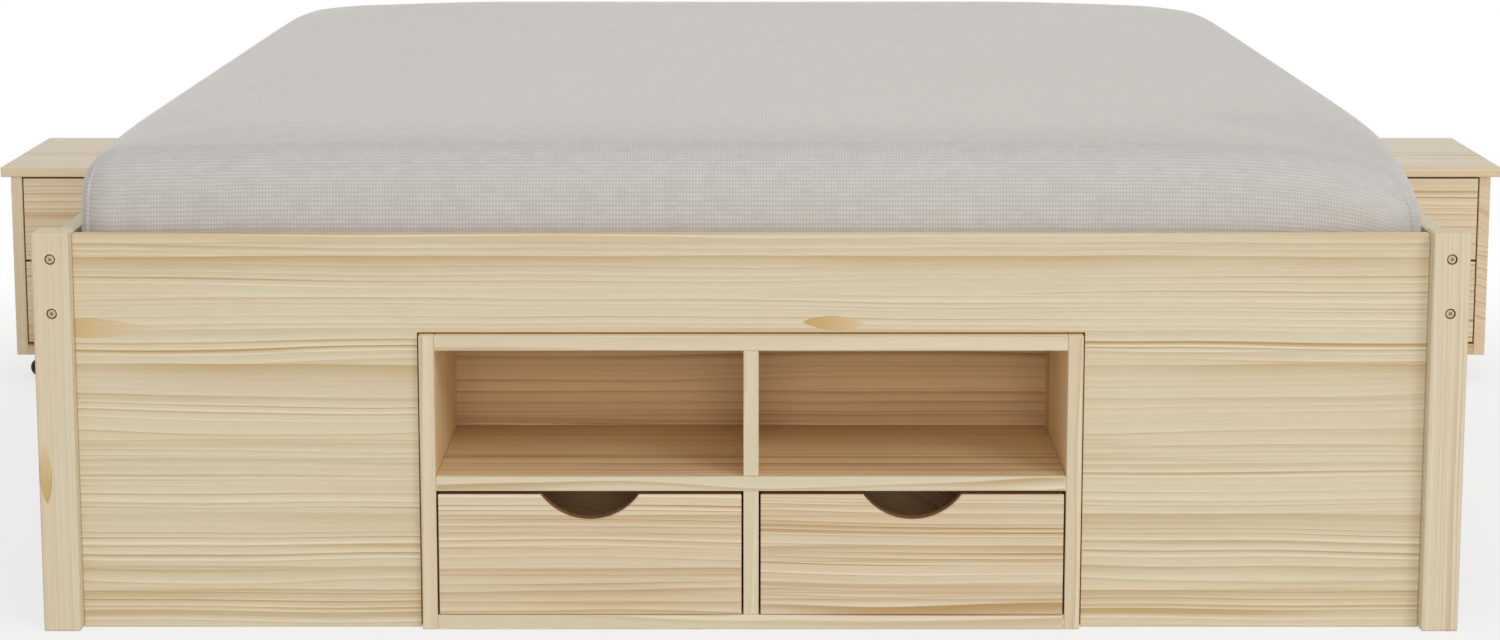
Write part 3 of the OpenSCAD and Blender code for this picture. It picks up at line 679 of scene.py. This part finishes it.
@dataclass
class Mattress:
    """The mattress in its knitted cover: a crowned pad with a seam down each corner.

    The corners of the top droop, the left one at the foot end least. droop holds by how much,
    first for the left and right corners at the foot end and then for those at the head end.
    tuck holds in the same order how far each leans inwards at the top. over_box is how far the
    crown may rise over the CAD box, and arc_inset how far inside its square a corner's arc
    passes, as a share of its radius.
    """

    corner_radius: float = 0.047
    top_radius: float = 0.050
    bottom_radius: float = 0.024
    crown: float = 0.006
    crown_power: int = 8
    lift: float = 0.0025
    droop: tuple[float, ...] = (0.006, 0.070, 0.027, 0.033)
    tuck: tuple[float, ...] = (0.010, 0.006, 0.0, 0.0)
    droop_power: float = 9.0
    ease: float = 0.0008
    edge_cell: float = 0.0085
    middle_cell: float = 0.036
    fine_zone: float = 0.085
    puff_cap: float = 0.005
    pressure: float = 3.0
    frames: int = 20
    over_box: float = 0.006
    slat_gap: float = 0.0001
    arc_inset: float = 0.293
    seam_width: float = 0.0052
    seam_rise: float = 0.0026
    seam_step: float = 0.0011
    seam_sides: int = 14
    seam_taper: float = 0.022
    stitch: float = 0.0045
    stitch_swell: float = 0.16
    pucker: float = 0.0007
    pucker_pitch: float = 0.031
    pucker_reach: float = 0.03
    half: np.ndarray = field(default_factory=lambda: np.zeros(2))
    base: float = 0.0
    top: float = 0.0

    def __post_init__(self) -> None:
        """Take the size of the CAD solid that this piece stands for."""
        low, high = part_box("mattress")
        self.half = (np.array(high[:2]) - np.array(low[:2])) / 2 + self.ease
        self.base, self.top = low[2], high[2] - self.crown + self.lift

    def spacing(self, length: float, fine: float) -> np.ndarray:
        """Space grid lines, close together over the outer zones.

        Args:
            length: Half the distance that the lines cover.
            fine: How wide each outer zone is.

        Returns:
            The places of the lines, from -length to length.
        """
        outer = np.linspace(0.0, fine, round(fine / self.edge_cell) + 1)
        inner = length - fine
        count = round(2 * inner / self.middle_cell)
        middle = np.linspace(-inner, inner, count + 1)[1:-1]
        return np.concatenate([outer - length, middle, length - outer[::-1]])

    def lattice(self) -> tuple[np.ndarray, np.ndarray, np.ndarray, np.ndarray]:
        """Lay a grid over the six faces of the flat box.

        The lattice points with an index at either end of any axis are the surface. Each face is
        one slice of the array of their numbers.

        Returns:
            Points, quads, the UV of their corners and the numbers array of the lattice.
        """
        lines = [self.spacing(self.half[0], self.fine_zone), self.spacing(self.half[1], self.fine_zone),
                 np.linspace(self.base, self.top, round((self.top - self.base) / self.edge_cell) + 1)]
        shape = [len(line) for line in lines]
        index = np.indices(shape)
        last = np.array(shape).reshape(3, 1, 1, 1) - 1
        skin = ((index == 0) | (index == last)).any(0)
        number = np.full(shape, -1)
        number[skin] = np.arange(skin.sum())
        points = np.stack([lines[i][index[i][skin]] for i in range(3)], -1)
        width, length = self.half
        quads, pattern = [], []
        for axis in range(3):
            for end in (0, -1):
                slab = np.take(number, end, axis)
                ring = np.stack([slab[:-1, :-1], slab[1:, :-1], slab[1:, 1:], slab[:-1, 1:]], -1)
                ring = ring.reshape(-1, 4)
                if (end == 0) != (axis == 1):
                    ring = ring[:, ::-1]
                at = points[ring]
                drop = self.top - at[..., 2]
                if axis == 2:
                    flat = np.stack([at[..., 0], at[..., 1] * (1 if end else -1)], -1)
                elif axis == 1:
                    flat = np.stack([at[..., 0], (length + drop) * (1 if end else -1)], -1)
                else:
                    flat = np.stack([(width + drop) * (1 if end else -1), at[..., 1]], -1)
                quads.append(ring)
                pattern.append(flat)
        return points, np.concatenate(quads), np.concatenate(pattern), number

    def rounded(self, flat: np.ndarray) -> np.ndarray:
        """Round the flat box.

        The top edge is a quarter circle: a point's flat distance round the edge turns into an
        angle, whose cosine gives the inset and whose sine the height. The corners in plan are
        arcs: within the corner square the larger coordinate becomes the radius. With sx and sy
        the shares of the half sizes, the top then rises by (1 - sx^p)(1 - sy^p) of its crown, and
        each corner sinks by (sx sy)^q of its droop, the less the lower the point is.

        Args:
            flat: Points of the flat box.

        Returns:
            The rounded points.
        """
        size = self.half
        plan = np.abs(flat[:, :2])
        height = flat[:, 2]
        inset = np.min(size - plan, axis=1)
        top = height > self.top - 1e-9
        bottom = height < self.base + 1e-9
        out = height.copy()
        pull = np.zeros(len(flat))
        for end, edge, radius, sign in ((top, self.top, self.top_radius, 1.0),
                                        (bottom, self.base, self.bottom_radius, -1.0)):
            up = np.clip((height - edge) * sign / radius, -1.0, 0.0)
            turn = (1.0 + np.where(end, np.clip(inset / radius, 0.0, 1.0), up)) * math.pi / 4
            near = (up > -1.0) | end
            arc = radius * (1.0 - np.cos(turn))
            pull = np.where(near, np.where(end & (inset > radius), inset, arc), pull)
            out = np.where(near, edge - sign * radius * (1.0 - np.sin(turn)), out)
        flat_inset = np.where(top | bottom, inset, 0.0)
        scale = (size - pull[:, None]) / np.maximum(size - flat_inset[:, None], 1e-9)
        plan = plan * scale
        over = plan - (size - self.corner_radius)
        corner = (over > 0).all(1)
        reach = over.max(1) / np.maximum(np.hypot(over[:, 0], over[:, 1]), 1e-9)
        plan = np.where(corner[:, None], size - self.corner_radius + over * reach[:, None], plan)
        share = plan / size
        rise = self.crown * np.prod(1.0 - share ** self.crown_power, axis=1)
        out = out + np.where(top, rise, 0.0)
        corner_of = (flat[:, 0] > 0) + 2 * (flat[:, 1] > 0)
        near = np.prod(share, axis=1) ** self.droop_power * (out - self.base) / (self.top - self.base)
        out = out - np.array(self.droop)[corner_of] * near
        plan = plan - (np.array(self.tuck)[corner_of] * near)[:, None]
        return np.column_stack([plan * np.where(flat[:, :2] < 0, -1.0, 1.0), out])

    def inflate(self, piece: bpy.types.Object, held: np.ndarray) -> np.ndarray:
        """Blow the cover up with the Cloth modifier and cap how far it moves.

        Args:
            piece: The pad.
            held: Numbers of the vertices that lie on the slats.

        Returns:
            The new places of the vertices.
        """
        start = coordinates(piece.data)
        group = piece.vertex_groups.new(name="held")
        group.add(held.tolist(), 1.0, "REPLACE")
        cloth = piece.modifiers.new("cover", "CLOTH")
        cloth.settings.quality = 5
        cloth.settings.mass = 0.3
        cloth.settings.tension_stiffness = cloth.settings.compression_stiffness = 18.0
        cloth.settings.shear_stiffness = 8.0
        cloth.settings.bending_stiffness = 1.2
        cloth.settings.use_pressure = True
        cloth.settings.uniform_pressure_force = self.pressure
        cloth.settings.vertex_group_mass = "held"
        cloth.settings.effector_weights.gravity = 0.0
        cloth.point_cache.frame_start, cloth.point_cache.frame_end = 1, self.frames
        for step in range(1, self.frames + 1):
            bpy.context.scene.frame_set(step)
        graph = bpy.context.evaluated_depsgraph_get()
        move = coordinates(piece.evaluated_get(graph).data) - start
        piece.modifiers.remove(cloth)
        piece.vertex_groups.remove(group)
        bpy.context.scene.frame_set(1)
        far = np.linalg.norm(move, axis=1, keepdims=True)
        move = move * np.tanh(far / self.puff_cap) * self.puff_cap / np.maximum(far, 1e-9)
        LOG.info("the cover moved up to %.1f mm", 1000 * np.linalg.norm(move, axis=1).max())
        return start + move

    def settle(self, points: np.ndarray) -> np.ndarray:
        """Keep the pad in the room between the rails and panels, and on the slats.

        Args:
            points: Places of the vertices.

        Returns:
            The places, with the cover pinched beside each corner seam.
        """
        low, high = (np.array(corner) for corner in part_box("mattress"))
        low[2] += self.slat_gap
        points = np.clip(points, low, [high[0], high[1], CAD_BOX[1].z + self.over_box])
        off = np.abs(points[:, :2]) - (self.half - self.corner_radius * self.arc_inset)
        near = np.exp(-np.sum(off ** 2, axis=1) / self.pucker_reach ** 2)
        corner = np.sign(points[:, 0] * points[:, 1])
        wave = np.sin(points[:, 2] * 2 * math.pi / self.pucker_pitch + 1.3 * corner)
        away = unit(np.column_stack([points[:, :2], np.zeros(len(points))]))
        return points - away * (near * (0.5 + 0.5 * wave) * self.pucker)[:, None]

    def seam(self, name: str, places: np.ndarray, normals: np.ndarray) -> bpy.types.Object:
        """Carry a flattened, stitched ridge along a corner of the cover.

        The profile is an ellipse, wide along the cover and low across it. Its size tapers at the
        upper end and swells a little between stitches.

        Args:
            name: The piece's name.
            places: Points on the cover from the bottom up.
            normals: The cover's normals there.

        Returns:
            The ridge.
        """
        far = np.concatenate([[0.0], np.cumsum(np.linalg.norm(np.diff(places, axis=0), axis=1))])
        at = np.linspace(0.0, far[-1], round(far[-1] / self.seam_step))
        path = np.column_stack([np.interp(at, far, places[:, i]) for i in range(3)])
        up = unit(np.column_stack([np.interp(at, far, normals[:, i]) for i in range(3)]))
        side = unit(np.cross(unit(np.gradient(path, axis=0)), up))
        turn = np.linspace(0.0, 2 * math.pi, self.seam_sides, endpoint=False)
        taper = np.clip((at[-1] - at) / self.seam_taper, 0.05, 1.0) ** 0.5
        swell = taper * (1.0 + self.stitch_swell * np.cos(2 * math.pi * at / self.stitch))
        wide = np.outer(swell, np.cos(turn)) * self.seam_width / 2
        high = np.outer(swell, np.sin(turn)) * self.seam_rise
        points = path[:, None] + side[:, None] * wide[..., None] + up[:, None] * high[..., None]
        grid = np.arange(len(at) * len(turn)).reshape(len(at), len(turn))
        nxt = np.roll(grid, -1, 1)
        quads = np.stack([grid[:-1], nxt[:-1], nxt[1:], grid[1:]], -1).reshape(-1, 4)
        u = np.stack([turn, np.append(turn[1:], 2 * math.pi)], -1) * self.seam_width / math.pi
        corners = np.empty((len(at) - 1, len(turn), 4, 2))
        corners[..., 0] = np.stack([u[:, 0], u[:, 1], u[:, 1], u[:, 0]], -1)
        corners[..., :2, 1] = at[:-1, None, None]
        corners[..., 2:, 1] = at[1:, None, None]
        ends = [grid[0][::-1], grid[-1]]
        flat = np.concatenate([corners.reshape(-1, 2), np.zeros((2 * len(turn), 2))])
        return solid(name, points.reshape(-1, 3), quads, flat, ends)

    def build(self) -> list[bpy.types.Object]:
        """Make the pad and its seams.

        The right seam at the foot end lies one cell round the corner, where the cover has slipped.

        Returns:
            The pad first, then the four seams.
        """
        points, quads, pattern, number = self.lattice()
        pad = solid("mattress_pad", self.rounded(points), quads, pattern)
        held = np.unique(number[:, :, 0])
        pad.data.vertices.foreach_set("co", self.inflate(pad, held).ravel())
        pad.data.vertices.foreach_set("co", self.settle(coordinates(pad.data)).ravel())
        pad.data.update()
        smooth = pad.modifiers.new("smooth", "SUBSURF")
        smooth.levels = smooth.render_levels = 1
        shown = pad.evaluated_get(bpy.context.evaluated_depsgraph_get()).data
        places, normals = coordinates(shown), coordinates(shown, "normal")
        seams = []
        for i, across in ((0, "left"), (-1, "right")):
            for j, along in ((0, "foot"), (-1, "head")):
                turned = -2 if (i, j) == (-1, 0) else i
                column = number[turned, j, 3:]
                seams.append(self.seam(f"cover_seam_{along}_{across}", places[column], normals[column]))
        return [pad, *seams]

    def dress(self) -> None:
        """Build the mattress, finish it and put it in place of the CAD solid."""
        cloth = Knit().material()
        pieces = self.build()
        for piece in pieces:
            piece.data.materials.append(cloth)
            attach(piece, "bed")
            LOG.info("%s: %d faces", piece.name, len(piece.data.polygons))
        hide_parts("mattress")


def finish(node: str, material: bpy.types.Material) -> None:
    """Give a CAD node one material.

    Args:
        node: The node.
        material: Its finish.
    """
    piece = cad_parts[node]
    if not piece.material_slots:
        piece.data.materials.append(material)
    for slot in piece.material_slots:
        slot.material = material
    LOG.info("%s: %s", node, material.name)


def board(node: str, along: Axis, across: Axis, seed: float, **options: object) -> None:
    """Finish a CAD node as pine.

    Args:
        node: The node.
        along: The direction of its grain.
        across: The direction of its width.
        seed: The number that sets its rings apart from other boards'.
        **options: Other fields of Pine.
    """
    finish(node, Pine("pine_" + node, along, across, seed, **options).material(node))


@dataclass
class BedFrame:
    """Posts, panels, rails, slats and beam, with their bolts, nuts and dowels."""

    strip: float = 0.0885
    strip_from: float = -0.0405
    edge_ease: float = 0.0015
    post_x: float = 0.813
    ledger_pitch: float = 1.582
    slat_pitch: float = 0.0775
    leg_pitch: float = 0.584
    leg_from: float = -0.455
    cleat_pitch: float = 0.4
    calm: float = 0.4
    panel_streaks: tuple[Streak, ...] = (
        Streak(0.461, 0.004, 0.55), Streak(0.453, 0.003, 0.5), Streak(0.4445, 0.011, 0.9),
        Streak(0.397, 0.002, 0.35), Streak(0.3345, 0.0035, 0.5, 0.0035), Streak(0.3155, 0.014, 0.85),
        Streak(0.277, 0.004, 0.45, 0.0015), Streak(0.2255, 0.0018, 0.75), Streak(0.2205, 0.004, 0.45),
        Streak(0.2025, 0.0035, 0.55), Streak(0.1365, 0.015, 0.6), Streak(0.0715, 0.007, 0.6),
        Streak(0.0565, 0.003, 0.45), Streak(0.0445, 0.012, 0.7),
    )
    panel_knots: tuple[Knot, ...] = (
        Knot(0.099, 0.3665, 0.041, 0.0095), Knot(-0.778, 0.3615, 0.088, 0.0125, 0.85),
    )
    post_knots: tuple[Knot, ...] = (Knot(0.192, -0.8265, 0.040, 0.0085),)

    def dress(self, steel: bpy.types.Material, beech: bpy.types.Material) -> None:
        """Finish every node of the frame.

        Args:
            steel: The finish of bolts and nuts.
            beech: The finish of dowels.
        """
        board("foot_post_left", Axis.Z, Axis.X, 3.1, knots=self.post_knots, contrast=self.calm)
        board("foot_post_right", Axis.Z, Axis.X, 4.7, contrast=self.calm)
        board("head_posts", Axis.Z, Axis.X, 5.3, strip=2 * self.post_x, strip_from=-2 * self.post_x,
              contrast=self.calm)
        # The foot panel's faces behind its front take the painted shade tone of the niches.
        board("foot_panel", Axis.X, Axis.Z, 6.1, strip=self.strip, strip_from=self.strip_from,
              streaks=self.panel_streaks, knots=self.panel_knots,
              inner_from=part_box("foot_panel")[0].y + self.edge_ease)
        board("head_panel", Axis.X, Axis.Z, 7.9, strip=self.strip, strip_from=self.strip_from)
        board("side_rail_left", Axis.Y, Axis.Z, 8.2)
        board("side_rail_right", Axis.Y, Axis.Z, 9.4)
        # The hidden boards under the mattress take the painted shade tone for boards out of the light.
        board("slat_ledgers", Axis.Y, Axis.Z, 10.6, layer=self.ledger_pitch,
              layer_from=-self.ledger_pitch, tone=Tone.INNER)
        board("slats", Axis.X, Axis.Y, 11.3, strip=self.slat_pitch, tone=Tone.INNER)
        board("centre_beam", Axis.Y, Axis.X, 12.8, tone=Tone.INNER)
        board("centre_legs", Axis.Z, Axis.X, 13.5, layer=self.leg_pitch, layer_from=self.leg_from,
              tone=Tone.INNER)
        board("fixing_cleats", Axis.Z, Axis.X, 14.2, strip=self.cleat_pitch, tone=Tone.INNER)
        for node in ("frame_bolts", "barrel_nuts"):
            finish(node, steel)
        finish("dowels", beech)


@dataclass
class FootUnit:
    """The shelf unit in the foot panel's cut-out, and its two drawers."""

    side_pitch: float = 0.759
    shelf_pitch: float = 0.168
    shelf_middle: float = 0.009
    strip: float = 0.094
    edge_ease: float = 0.0015
    streaks: tuple[tuple[Streak, ...], ...] = (
        (Streak(0.1375, 0.013, 0.6), Streak(0.1225, 0.002, 0.7), Streak(0.1145, 0.002, 0.6),
         Streak(0.0985, 0.0025, 0.6), Streak(0.0725, 0.007, 0.9, 0.001), Streak(0.0655, 0.0022, 0.8),
         Streak(0.0545, 0.003, 1.0, 0.002), Streak(0.0455, 0.009, 1.0, 0.003), Streak(0.0325, 0.004, 0.8)),
        (Streak(0.1495, 0.002, 0.6), Streak(0.136, 0.003, 0.7, 0.002), Streak(0.1225, 0.002, 0.6),
         Streak(0.115, 0.003, 0.6), Streak(0.1003, 0.017, 1.0), Streak(0.082, 0.002, 0.7),
         Streak(0.0515, 0.008, 0.7, -0.002), Streak(0.044, 0.003, 0.8), Streak(0.036, 0.006, 0.9)),
    )
    back_streaks: tuple[Streak, ...] = (
        Streak(0.2277, 0.003, 0.95), Streak(0.2144, 0.006, 0.8), Streak(0.2025, 0.0025, 0.9),
        Streak(0.1975, 0.006, 0.8), Streak(0.262, 0.003, 0.35),
    )
    shelf_streaks: tuple[Streak, ...] = (
        Streak(-0.755, 0.075, 0.9), Streak(-0.915, 0.008, 0.55), Streak(-0.966, 0.014, 0.9),
        Streak(-0.998, 0.010, 0.9),
    )

    def dress(self) -> None:
        """Finish the unit's boards and both drawers."""
        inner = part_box("unit_shelves")[0].y + self.edge_ease
        # Faces inside the unit take the painted shade tone of the niches.
        board("unit_sides", Axis.Z, Axis.Y, 21.2, strip=self.strip, layer=self.side_pitch,
              layer_from=-self.side_pitch, tone=Tone.FRONT, inner_from=inner)
        board("unit_shelves", Axis.X, Axis.Y, 20.3, strip=self.strip, layer=self.shelf_pitch,
              layer_from=self.shelf_middle - self.shelf_pitch / 2, inner_from=inner,
              streaks=self.shelf_streaks)
        board("unit_dividers", Axis.Z, Axis.Y, 23.1, strip=self.strip, inner_from=inner)
        # The back of the niche takes the painted shade tone for boards out of the light.
        board("unit_back", Axis.X, Axis.Z, 24.9, strip=self.strip, tone=Tone.INNER,
              streaks=self.back_streaks)
        for number, side in enumerate(Side):
            # The cut edges behind each drawer front are painted shade, darker like the gaps they lie in.
            board(f"foot_drawer_{side.word}_front", Axis.X, Axis.Z, 25.3 + 3.3 * number, ring=0.0064,
                  contrast=1.35, tone=Tone.FRONT, behind=Tone.EDGE_SHADE, inner_from=inner,
                  streaks=self.streaks[number])
            # The drawer box takes the painted shade tone for drawer boxes.
            board(f"foot_drawer_{side.word}_box", Axis.Y, Axis.Z, 26.4 + 3.3 * number, tone=Tone.BOX)


@dataclass
class Nightstand:
    """One roll-out nightstand with its two drawers and four castors."""

    side: Side
    edge_ease: float = 0.0015
    thickness: float = 0.018

    def dress(self, steel: bpy.types.Material, plastic: bpy.types.Material,
              beech: bpy.types.Material) -> None:
        """Finish the nightstand's boards, drawers and castors.

        Args:
            steel: The finish of the castor plates and their screws.
            plastic: The finish of forks and wheels.
            beech: The finish of the drawer runners.
        """
        name = "nightstand_" + self.side.word
        seed = 31.0 + 4.1 * self.side.value
        low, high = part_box(name + "_sides")
        middle, gap = (low + high) / 2, high.x - low.x - self.thickness
        board(name + "_top", Axis.X, Axis.Y, seed, strip=0.093, strip_from=0.41, ring=0.017,
              tone=Tone.WARM, behind=Tone.TOP, contrast=1.4,
              inner_from=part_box(name + "_top")[0].y + self.edge_ease)
        upright = self.side is Side.LEFT
        run, wide = (Axis.Z, Axis.Y) if upright else (Axis.Y, Axis.Z)
        board(name + "_sides", run, wide, seed + 11, strip=0.092, strip_from=low.y if upright else low.z,
              layer=gap, layer_from=middle.x - gap, tone=Tone.WARM)
        # The bottom takes the painted shade tone for boards out of the light.
        board(name + "_bottom", Axis.X, Axis.Y, seed + 22, tone=Tone.INNER)
        board(name + "_back", Axis.X, Axis.Z, seed + 33, strip=0.1, tone=Tone.WARM)
        finish(name + "_runners", beech)
        for row in ("upper", "lower"):
            seed += 5.7
            front = f"{name}_{row}_front"
            # The cut edges behind each front are painted shade, darker like the gaps they lie in.
            board(front, Axis.X, Axis.Z, seed + 55, tone=Tone.WARM, behind=Tone.EDGE_SHADE, contrast=1.3,
                  inner_from=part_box(front)[0].y + self.edge_ease)
            # The drawer box takes the painted shade tone for drawer boxes.
            board(f"{name}_{row}_box", Axis.Y, Axis.Z, seed + 66, tone=Tone.BOX)
        finish(name + "_castor_plates", steel)
        for number in range(1, 5):
            finish(f"castor_fork_{self.side.word}_{number}", plastic)
            finish(f"castor_wheel_{self.side.word}_{number}", plastic)


@dataclass(frozen=True)
class Lamp:
    """A soft rectangular light that faces the middle of the bed. Metres and watts."""

    name: str
    at: tuple[float, float, float]
    size: tuple[float, float]
    power: float

    def hang(self) -> None:
        """Put the light into the scene."""
        data = bpy.data.lights.new(self.name, "AREA")
        data.shape, data.energy = "RECTANGLE", self.power
        data.size, data.size_y = self.size
        lamp = bpy.data.objects.new(self.name, data)
        lamp.location = self.at
        aim = np.array([0.0, 0.0, 0.3]) - np.array(self.at)
        lamp.rotation_euler = (math.acos(-aim[2] / np.linalg.norm(aim)), 0.0,
                               math.atan2(aim[1], aim[0]) - math.pi / 2)
        bpy.context.scene.collection.objects.link(lamp)


@dataclass(frozen=True)
class Studio:
    """Camera, soft lights and a white floor."""

    camera_at: tuple[float, float, float] = (-0.0012, -4.749, 1.067)
    pitch: float = 9.26
    lens: float = 77.81
    shift: float = -0.05
    floor_size: float = 60.0
    sky: float = 0.46
    lamps: tuple[Lamp, ...] = (
        Lamp("key", (5.5, -8.0, 6.0), (4.0, 4.0), 240.0),
        Lamp("front", (0.3, -12.0, 2.8), (5.0, 2.6), 258.0),
        Lamp("top", (0.0, 0.0, 7.0), (5.0, 5.0), 60.0),
        Lamp("back", (0.0, 12.0, 2.5), (5.0, 2.6), 200.0),
    )

    def build(self) -> None:
        """Make the camera, the lights, the floor and the world."""
        self.camera()
        for lamp in self.lamps:
            lamp.hang()
        self.floor()
        self.world()

    def camera(self) -> None:
        """Stand the camera in front of the foot end, tilted down by its pitch."""
        data = bpy.data.cameras.new("camera")
        data.lens, data.shift_y, data.sensor_width = self.lens, self.shift, 36.0
        data.clip_end = 200.0
        camera = bpy.data.objects.new("camera", data)
        camera.location = self.camera_at
        camera.rotation_euler = (math.radians(90.0 - self.pitch), 0.0, 0.0)
        bpy.context.scene.collection.objects.link(camera)
        bpy.context.scene.camera = camera

    def seen(self, g: Graph) -> Socket:
        """Return 1 for rays that the camera, a reflection or a clear body sends, otherwise 0."""
        rays = g.node("LightPath", {}).outputs
        return g.maths("MAXIMUM", g.maths("MAXIMUM", rays["Is Camera Ray"], rays["Is Glossy Ray"]),
                       rays["Is Transmission Ray"])

    def floor(self) -> None:
        """Lay a pale floor that turns to plain white away from the bed, where no shadow falls."""
        edge = self.floor_size / 2
        corners = np.array([[-edge, -edge, 0.0], [edge, -edge, 0.0], [edge, edge, 0.0], [-edge, edge, 0.0]])
        floor = solid("floor", corners, np.array([[0, 1, 2, 3]]))
        g = Graph("floor")
        g.surface({"Base Color": paint(238, 238, 238), "Roughness": 0.9})
        x, y, _ = g.place()
        away = g.length(x, y)
        white = g.node("Emission", {"Color": (1.0, 1.0, 1.0, 1.0), "Strength": 1.0})
        share = g.maths("MULTIPLY", self.seen(g), g.step(away, 1.2, 2.2, 0.7, 1.0))
        mixed = g.node("MixShader", {0: share, 1: g.shader.outputs[0], 2: white.outputs[0]})
        g.links.new(mixed.outputs[0], g.nodes["Material Output"].inputs["Surface"])
        floor.data.materials.append(g.material)

    def world(self) -> None:
        """Light the scene evenly from all round, with plain white where it is seen."""
        world = bpy.data.worlds.new("studio")
        world.use_nodes = True
        tree = world.node_tree
        back = tree.nodes["Background"]
        back.inputs["Color"].default_value = (1.0, 1.0, 1.0, 1.0)
        rays = tree.nodes.new("ShaderNodeLightPath")
        level = rays.outputs["Is Camera Ray"]
        for kind in ("Is Glossy Ray", "Is Transmission Ray"):
            either = tree.nodes.new("ShaderNodeMath")
            either.operation = "MAXIMUM"
            tree.links.new(level, either.inputs[0])
            tree.links.new(rays.outputs[kind], either.inputs[1])
            level = either.outputs[0]
        strength = tree.nodes.new("ShaderNodeMapRange")
        strength.inputs["To Min"].default_value = self.sky
        strength.inputs["To Max"].default_value = 1.0
        tree.links.new(level, strength.inputs["Value"])
        tree.links.new(strength.outputs[0], back.inputs["Strength"])
        bpy.context.scene.world = world


def main() -> None:
    """Build the scene, sub-assembly by sub-assembly."""
    logging.basicConfig(level=logging.INFO, format="%(message)s")
    scene = bpy.context.scene
    scene.view_settings.view_transform = "Standard"
    steel, plastic = Steel().material(), Plastic().material()
    # Dowels and runners take the painted shade tone for boards out of the light.
    beech = Pine("beech", Axis.Y, Axis.Z, 61.0, tone=Tone.INNER).material("dowels")
    Studio().build()
    BedFrame().dress(steel, beech)
    FootUnit().dress()
    for side in Side:
        Nightstand(side).dress(steel, plastic, beech)
    Mattress().dress()


if __name__ == "__main__":
    main()
